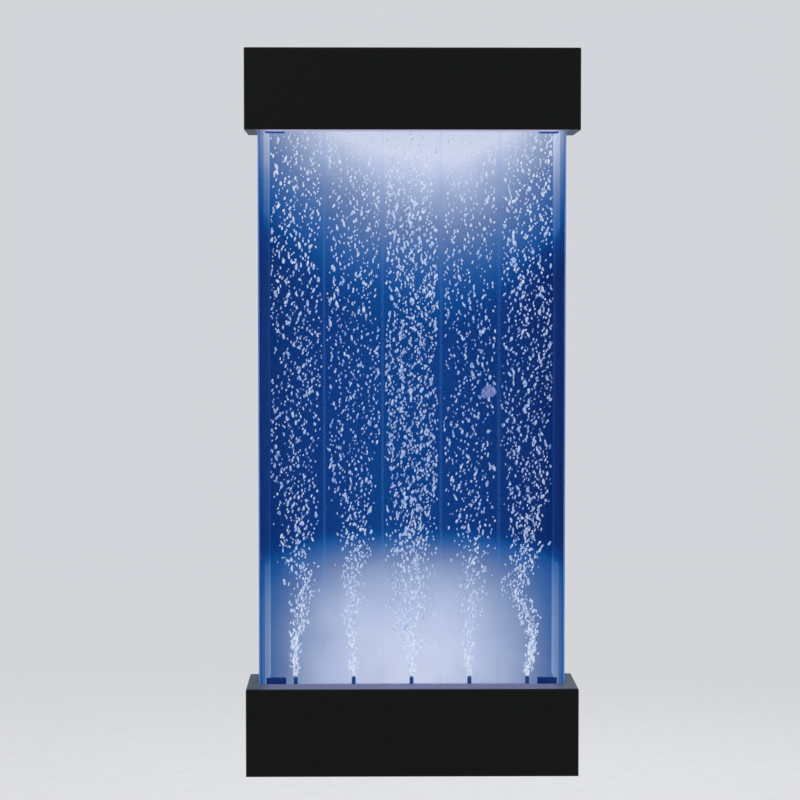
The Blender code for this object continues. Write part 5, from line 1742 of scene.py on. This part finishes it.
FLOOR = -1.0970
TERMINAL_Y = -0.0585
WIRES: tuple[tuple[str, Finish, tuple[Point, ...]], ...] = (
    (
        "wire_live", BROWN_PVC,
        (
            (-0.127, TERMINAL_Y, -1.071), (-0.127, -0.066, -1.071), (-0.127, -0.066, FLOOR),
            (-0.110, -0.0560, FLOOR), (0.240, -0.0560, FLOOR), (0.252, -0.0580, -1.076),
            (0.2632, -0.0600, -1.076),
        ),
    ),
    (
        "wire_switched", BLACK_PVC,
        (
            (0.2632, -0.0640, -1.060), (0.254, -0.0640, -1.060), (0.246, -0.0620, FLOOR),
            (0.100, -0.0620, FLOOR), (0.091, -0.0700, FLOOR), (0.091, -0.1190, FLOOR),
            (0.093, -0.1245, -1.087), (0.0996, -0.1245, -1.087),
        ),
    ),
    (
        "wire_neutral", BLUE_PVC,
        (
            (-0.113, TERMINAL_Y, -1.071), (-0.113, -0.066, -1.071), (-0.113, -0.066, FLOOR),
            (-0.100, -0.0590, FLOOR), (0.086, -0.0590, FLOOR), (0.0885, -0.0700, FLOOR),
            (0.0885, -0.1230, FLOOR), (0.091, -0.1290, -1.087), (0.0996, -0.1290, -1.087),
        ),
    ),
    (
        "wire_earth", EARTH_PVC,
        (
            (-0.120, TERMINAL_Y, -1.071), (-0.120, -0.0635, -1.071), (-0.1215, -0.0600, FLOOR),
            (-0.138, -0.0530, FLOOR), (-0.149, -0.0530, FLOOR),
        ),
    ),
    (
        "wire_pump", BLACK_PVC,
        (
            (-0.1336, -0.1000, -1.084), (-0.1290, -0.1000, -1.084), (-0.1270, -0.0900, FLOOR),
            (-0.1180, -0.0660, FLOOR), (-0.1040, -0.0620, FLOOR), (-0.0900, -0.0620, FLOOR),
        ),
    ),
)


@dataclass
class Electrics:
    """The inlet, switch and driver, and the wires between them."""

    wire_radius: float = 0.0011
    wire_bend: float = 0.008
    lead_radius: float = 0.002
    lead_bend: float = 0.025
    lead_y: float = -0.0331
    tie_xs: tuple[float, ...] = (-0.075, -0.02, 0.035, 0.150, 0.205)

    def ties(self) -> None:
        """Make the tie mounts that hold the wires to the pan: foot, bridge and two legs."""
        ties = []
        for x in self.tie_xs:
            parts = (
                (0.004, -0.0665, -1.0984, -0.0520, PAN_TOP_Z, 0.0),
                (0.0012, -0.0645, -1.0957, -0.0540, -1.0950, 0.0003),
                (0.0012, -0.0650, PAN_TOP_Z, -0.0642, -1.0951, 0.0),
                (0.0012, -0.0545, PAN_TOP_Z, -0.0537, -1.0951, 0.0),
            )
            for half, front, foot, rear, top, edge in parts:
                ties.append(box_mesh((x - half, front, foot), (x + half, rear, top), edge))
        mesh_piece("wire_ties", gather(ties), BLACK_NYLON)

    def terminals(self) -> None:
        """Make the push-on terminals behind the inlet and the switch, and the earth stud."""
        shoes = (
            box_mesh((x - 0.0020, -0.0655, -1.0728), (x + 0.0020, -0.0582, -1.0692), 0.0005)
            for x in (-0.127, -0.120, -0.113)
        )
        mesh_piece("inlet_terminals", gather(shoes), GREY_NYLON)
        half = 0.0018
        shoes = (
            box_mesh((0.2555, y - half, z - half), (0.2637, y + half, z + half), 0.0005)
            for y, z in ((-0.0600, -1.076), (-0.0640, -1.060))
        )
        mesh_piece("switch_terminals", gather(shoes), GREY_NYLON)
        profile = [
            (0, 0), (0.0048, 0), (0.0048, 0.0008), (0.0038, 0.0008), (0.0038, 0.0034),
            (0.0020, 0.0034), (0.0020, 0.0064), (0.0014, 0.0070), (0, 0.0070),
        ]
        stud = stand(turned_mesh(profile, 12), (-0.152, -0.053, -1.0983))
        mesh_piece("earth_stud", stud, SCREW_STEEL)

    def lead(self) -> None:
        """Make the light's lead with its gland sleeve, in place of the plain tube."""
        y = self.lead_y
        corners = (
            (0.2063, -0.1267, -1.0852), (0.2123, -0.1267, -1.0852), (0.216, -0.05875, -1.070),
            (0.216, -0.04075, -1.070), (0.216, y, -1.065), (LEAD_X, y, -1.010),
            (LEAD_X, y, -0.056), (0.224, y, 0.004), (0.224, -0.049, 0.004),
            (0.226, -0.067, 0.0187), (0.226, -0.075, 0.0247), (0.214, -0.075, 0.0247),
        )
        route = rounded_route(corners, self.lead_bend)
        tube_piece("light_lead_cable", route, self.lead_radius, BLACK_PVC, ("light_lead",))
        sleeve = [
            (0.0021, 0), (0.0034, 0), (0.0034, 0.0014), (0.0029, 0.0016), (0.0029, 0.0028),
            (0.0032, 0.0030), (0.0032, 0.0040), (0.0024, 0.0050), (0.0021, 0.0050),
        ]
        made = turned_mesh(sleeve, ring=True)
        stand(made, (0.2062, -0.1267, -1.0852), Vector((1, 0, 0)))
        mesh_piece("lead_sleeve", made, BLACK_NYLON)

    def build(self) -> None:
        """Make the wires, ties, terminals, lead and screws."""
        for name, finish, corners in WIRES:
            tube_piece(name, rounded_route(corners, self.wire_bend), self.wire_radius, finish)
        self.ties()
        self.terminals()
        self.lead()
        low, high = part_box("power_inlet")
        middle_z = middle_of("power_inlet").z
        spots = [(x, high.y, middle_z) for x in (low.x + 0.0045, high.x - 0.0045)]
        fasten("inlet_screws", ButtonScrew(0.0026, 0.0013), spots, REARWARDS)
        top = PAN_TOP_Z + 0.0025
        spots = [(0.095, -0.1267, top), (0.205, -0.1320, top)]
        fasten("driver_screws", ButtonScrew(0.0026, 0.0014), spots, UP)

    def dress(self) -> None:
        """Give the driver, inlet and switch their plastics."""
        wear(WHITE_ABS, "light_driver")
        wear(BLACK_NYLON, "power_inlet", "switch_body", "switch_rocker")


@dataclass
class Drain:
    """The drain valve under the tank, with its lever."""

    bore: float = 0.0072
    nut_radius: float = 0.0112
    nut_height: float = 0.006
    nut_z: float = -1.0110
    seal_z: float = -1.0981

    def build(self) -> None:
        """Make the nut under the tank floor, the spout's seal and the lever's washer."""
        x, bore = middle_of("drain_valve").x, self.bore
        nut = [
            (bore, 0), (self.nut_radius, 0.0004), (self.nut_radius, self.nut_height - 0.0004),
            (bore, self.nut_height),
        ]
        made = stand(turned_mesh(nut, 6, ring=True), (x, TANK_MIDDLE_Y, self.nut_z))
        mesh_piece("drain_nut", made, GREY_NYLON)
        seal = [(bore, 0), (0.0094, 0), (0.0096, 0.0008), (0.0094, 0.0016), (bore, 0.0016)]
        made = stand(turned_mesh(seal, ring=True), (x, TANK_MIDDLE_Y, self.seal_z))
        mesh_piece("drain_seal", made, MOULDED_RUBBER)
        front, middle_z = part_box("drain_lever")[0].y, middle_of("drain_lever").z
        washer = [(0.0031, 0), (0.0052, 0), (0.0052, 0.0006), (0.0031, 0.0006)]
        made = stand(turned_mesh(washer, ring=True), (x, front, middle_z), FRONTWARDS)
        mesh_piece("drain_lever_washer", made, SCREW_STEEL, Body.DRAIN_HANDLE)

    def dress(self) -> None:
        """Give the valve and its lever their nylons."""
        wear(GREY_NYLON, "drain_valve")
        wear(RED_NYLON, "drain_lever")


@dataclass
class Studio:
    """The camera at the photograph's place, the floor and the lights."""

    lens_mm: float = 107.70
    camera_place: tuple[float, float, float] = (-0.074, -4.150, -0.293)
    camera_down: float = 2.903
    camera_right: float = 0.762
    floor_z: float = -1.62
    floor_size: float = 90.0
    world_light: float = 0.82
    lamp_size: float = 1.8
    aim: tuple[float, float, float] = (0, -0.08, -0.55)

    def camera(self) -> None:
        """Place the camera."""
        data = bpy.data.cameras.new("photo_camera")
        data.lens = self.lens_mm
        data.sensor_width = 36.0
        data.clip_end = 200.0
        made = bpy.data.objects.new("photo_camera", data)
        made.location = self.camera_place
        down, right = math.radians(90 - self.camera_down), math.radians(-self.camera_right)
        made.rotation_euler = (down, 0.0, right)
        bpy.context.scene.collection.objects.link(made)
        bpy.context.scene.camera = made

    def floor(self) -> None:
        """Make the plain floor."""
        source = bmesh.new()
        bmesh.ops.create_grid(source, x_segments=1, y_segments=1, size=self.floor_size / 2)
        bmesh.ops.translate(source, vec=(0, 0, self.floor_z), verts=source.verts)
        data = bpy.data.meshes.new("studio_floor")
        source.to_mesh(data)
        source.free()
        made = bpy.data.objects.new("studio_floor", data)
        bpy.context.scene.collection.objects.link(made)
        data.materials.append(FLOOR_PAINT.material())

    def lamp(self, name: str, place: Point, watts: float) -> None:
        """Hang one soft light that faces the panel.

        Args:
            name: the light's name.
            place: where it hangs.
            watts: its power.
        """
        data = bpy.data.lights.new(name, "AREA")
        data.size = self.lamp_size
        data.energy = watts
        made = bpy.data.objects.new(name, data)
        made.location = place
        aim = Vector(self.aim) - Vector(place)
        made.rotation_euler = aim.to_track_quat("-Z", "Y").to_euler()
        bpy.context.scene.collection.objects.link(made)

    def world(self) -> None:
        """Make the even light from all round, and the pale background."""
        made = bpy.data.worlds.new("studio_world")
        bpy.context.scene.world = made
        made.use_nodes = True
        on = Nodes(made.node_tree)
        on.tree.nodes.clear()
        rays = on.add("LightPath").node.outputs
        seen = rays["Is Camera Ray"]
        for other in ("Is Glossy Ray", "Is Transmission Ray"):
            seen = on.add("Math", {0: seen, 1: rays[other]}, operation="MAXIMUM")
        light = on.add("Background", {0: linear("#ffffff"), 1: self.world_light})
        sight = on.add("Background", {0: linear(BACKDROP), 1: 1.0})
        mixed = on.add("MixShader", {0: seen, 1: light, 2: sight})
        on.feed(on.tree.nodes.new("ShaderNodeOutputWorld"), {0: mixed})

    def build(self) -> None:
        """Set up the whole studio."""
        scene = bpy.context.scene
        scene.view_settings.view_transform = "Standard"
        scene.cycles.transparent_max_bounces = 32
        self.camera()
        self.floor()
        self.world()
        self.lamp("key_light", (-1.7, -2.7, 1.3), 26.0)
        self.lamp("fill_light", (2.0, -2.3, 0.2), 10.0)
        self.lamp("rear_light", (0.6, 2.6, 0.9), 14.0)


def main() -> None:
    """Build the panel's sub-assemblies in order."""
    logging.basicConfig(level=logging.INFO, format="%(name)s: %(message)s")
    Studio().build()
    tank = Tank()
    assemblies = (
        WallMount(), Chassis(), Covers(), tank, LightBar("base", True), LightBar("hood", False),
        AirSystem(), Pump(), Electrics(), Drain(),
    )
    for each in assemblies:
        each.build()
        each.dress()
        LOG.info("%s is done", type(each).__name__)
    shape = bubble_shape()
    for stream, walls in zip(STREAMS, tank.channels()):
        stream.build(walls, tank.level, shape)
    bpy.data.meshes.remove(shape)
    AirPocket().build()


if __name__ == "__main__":
    main()
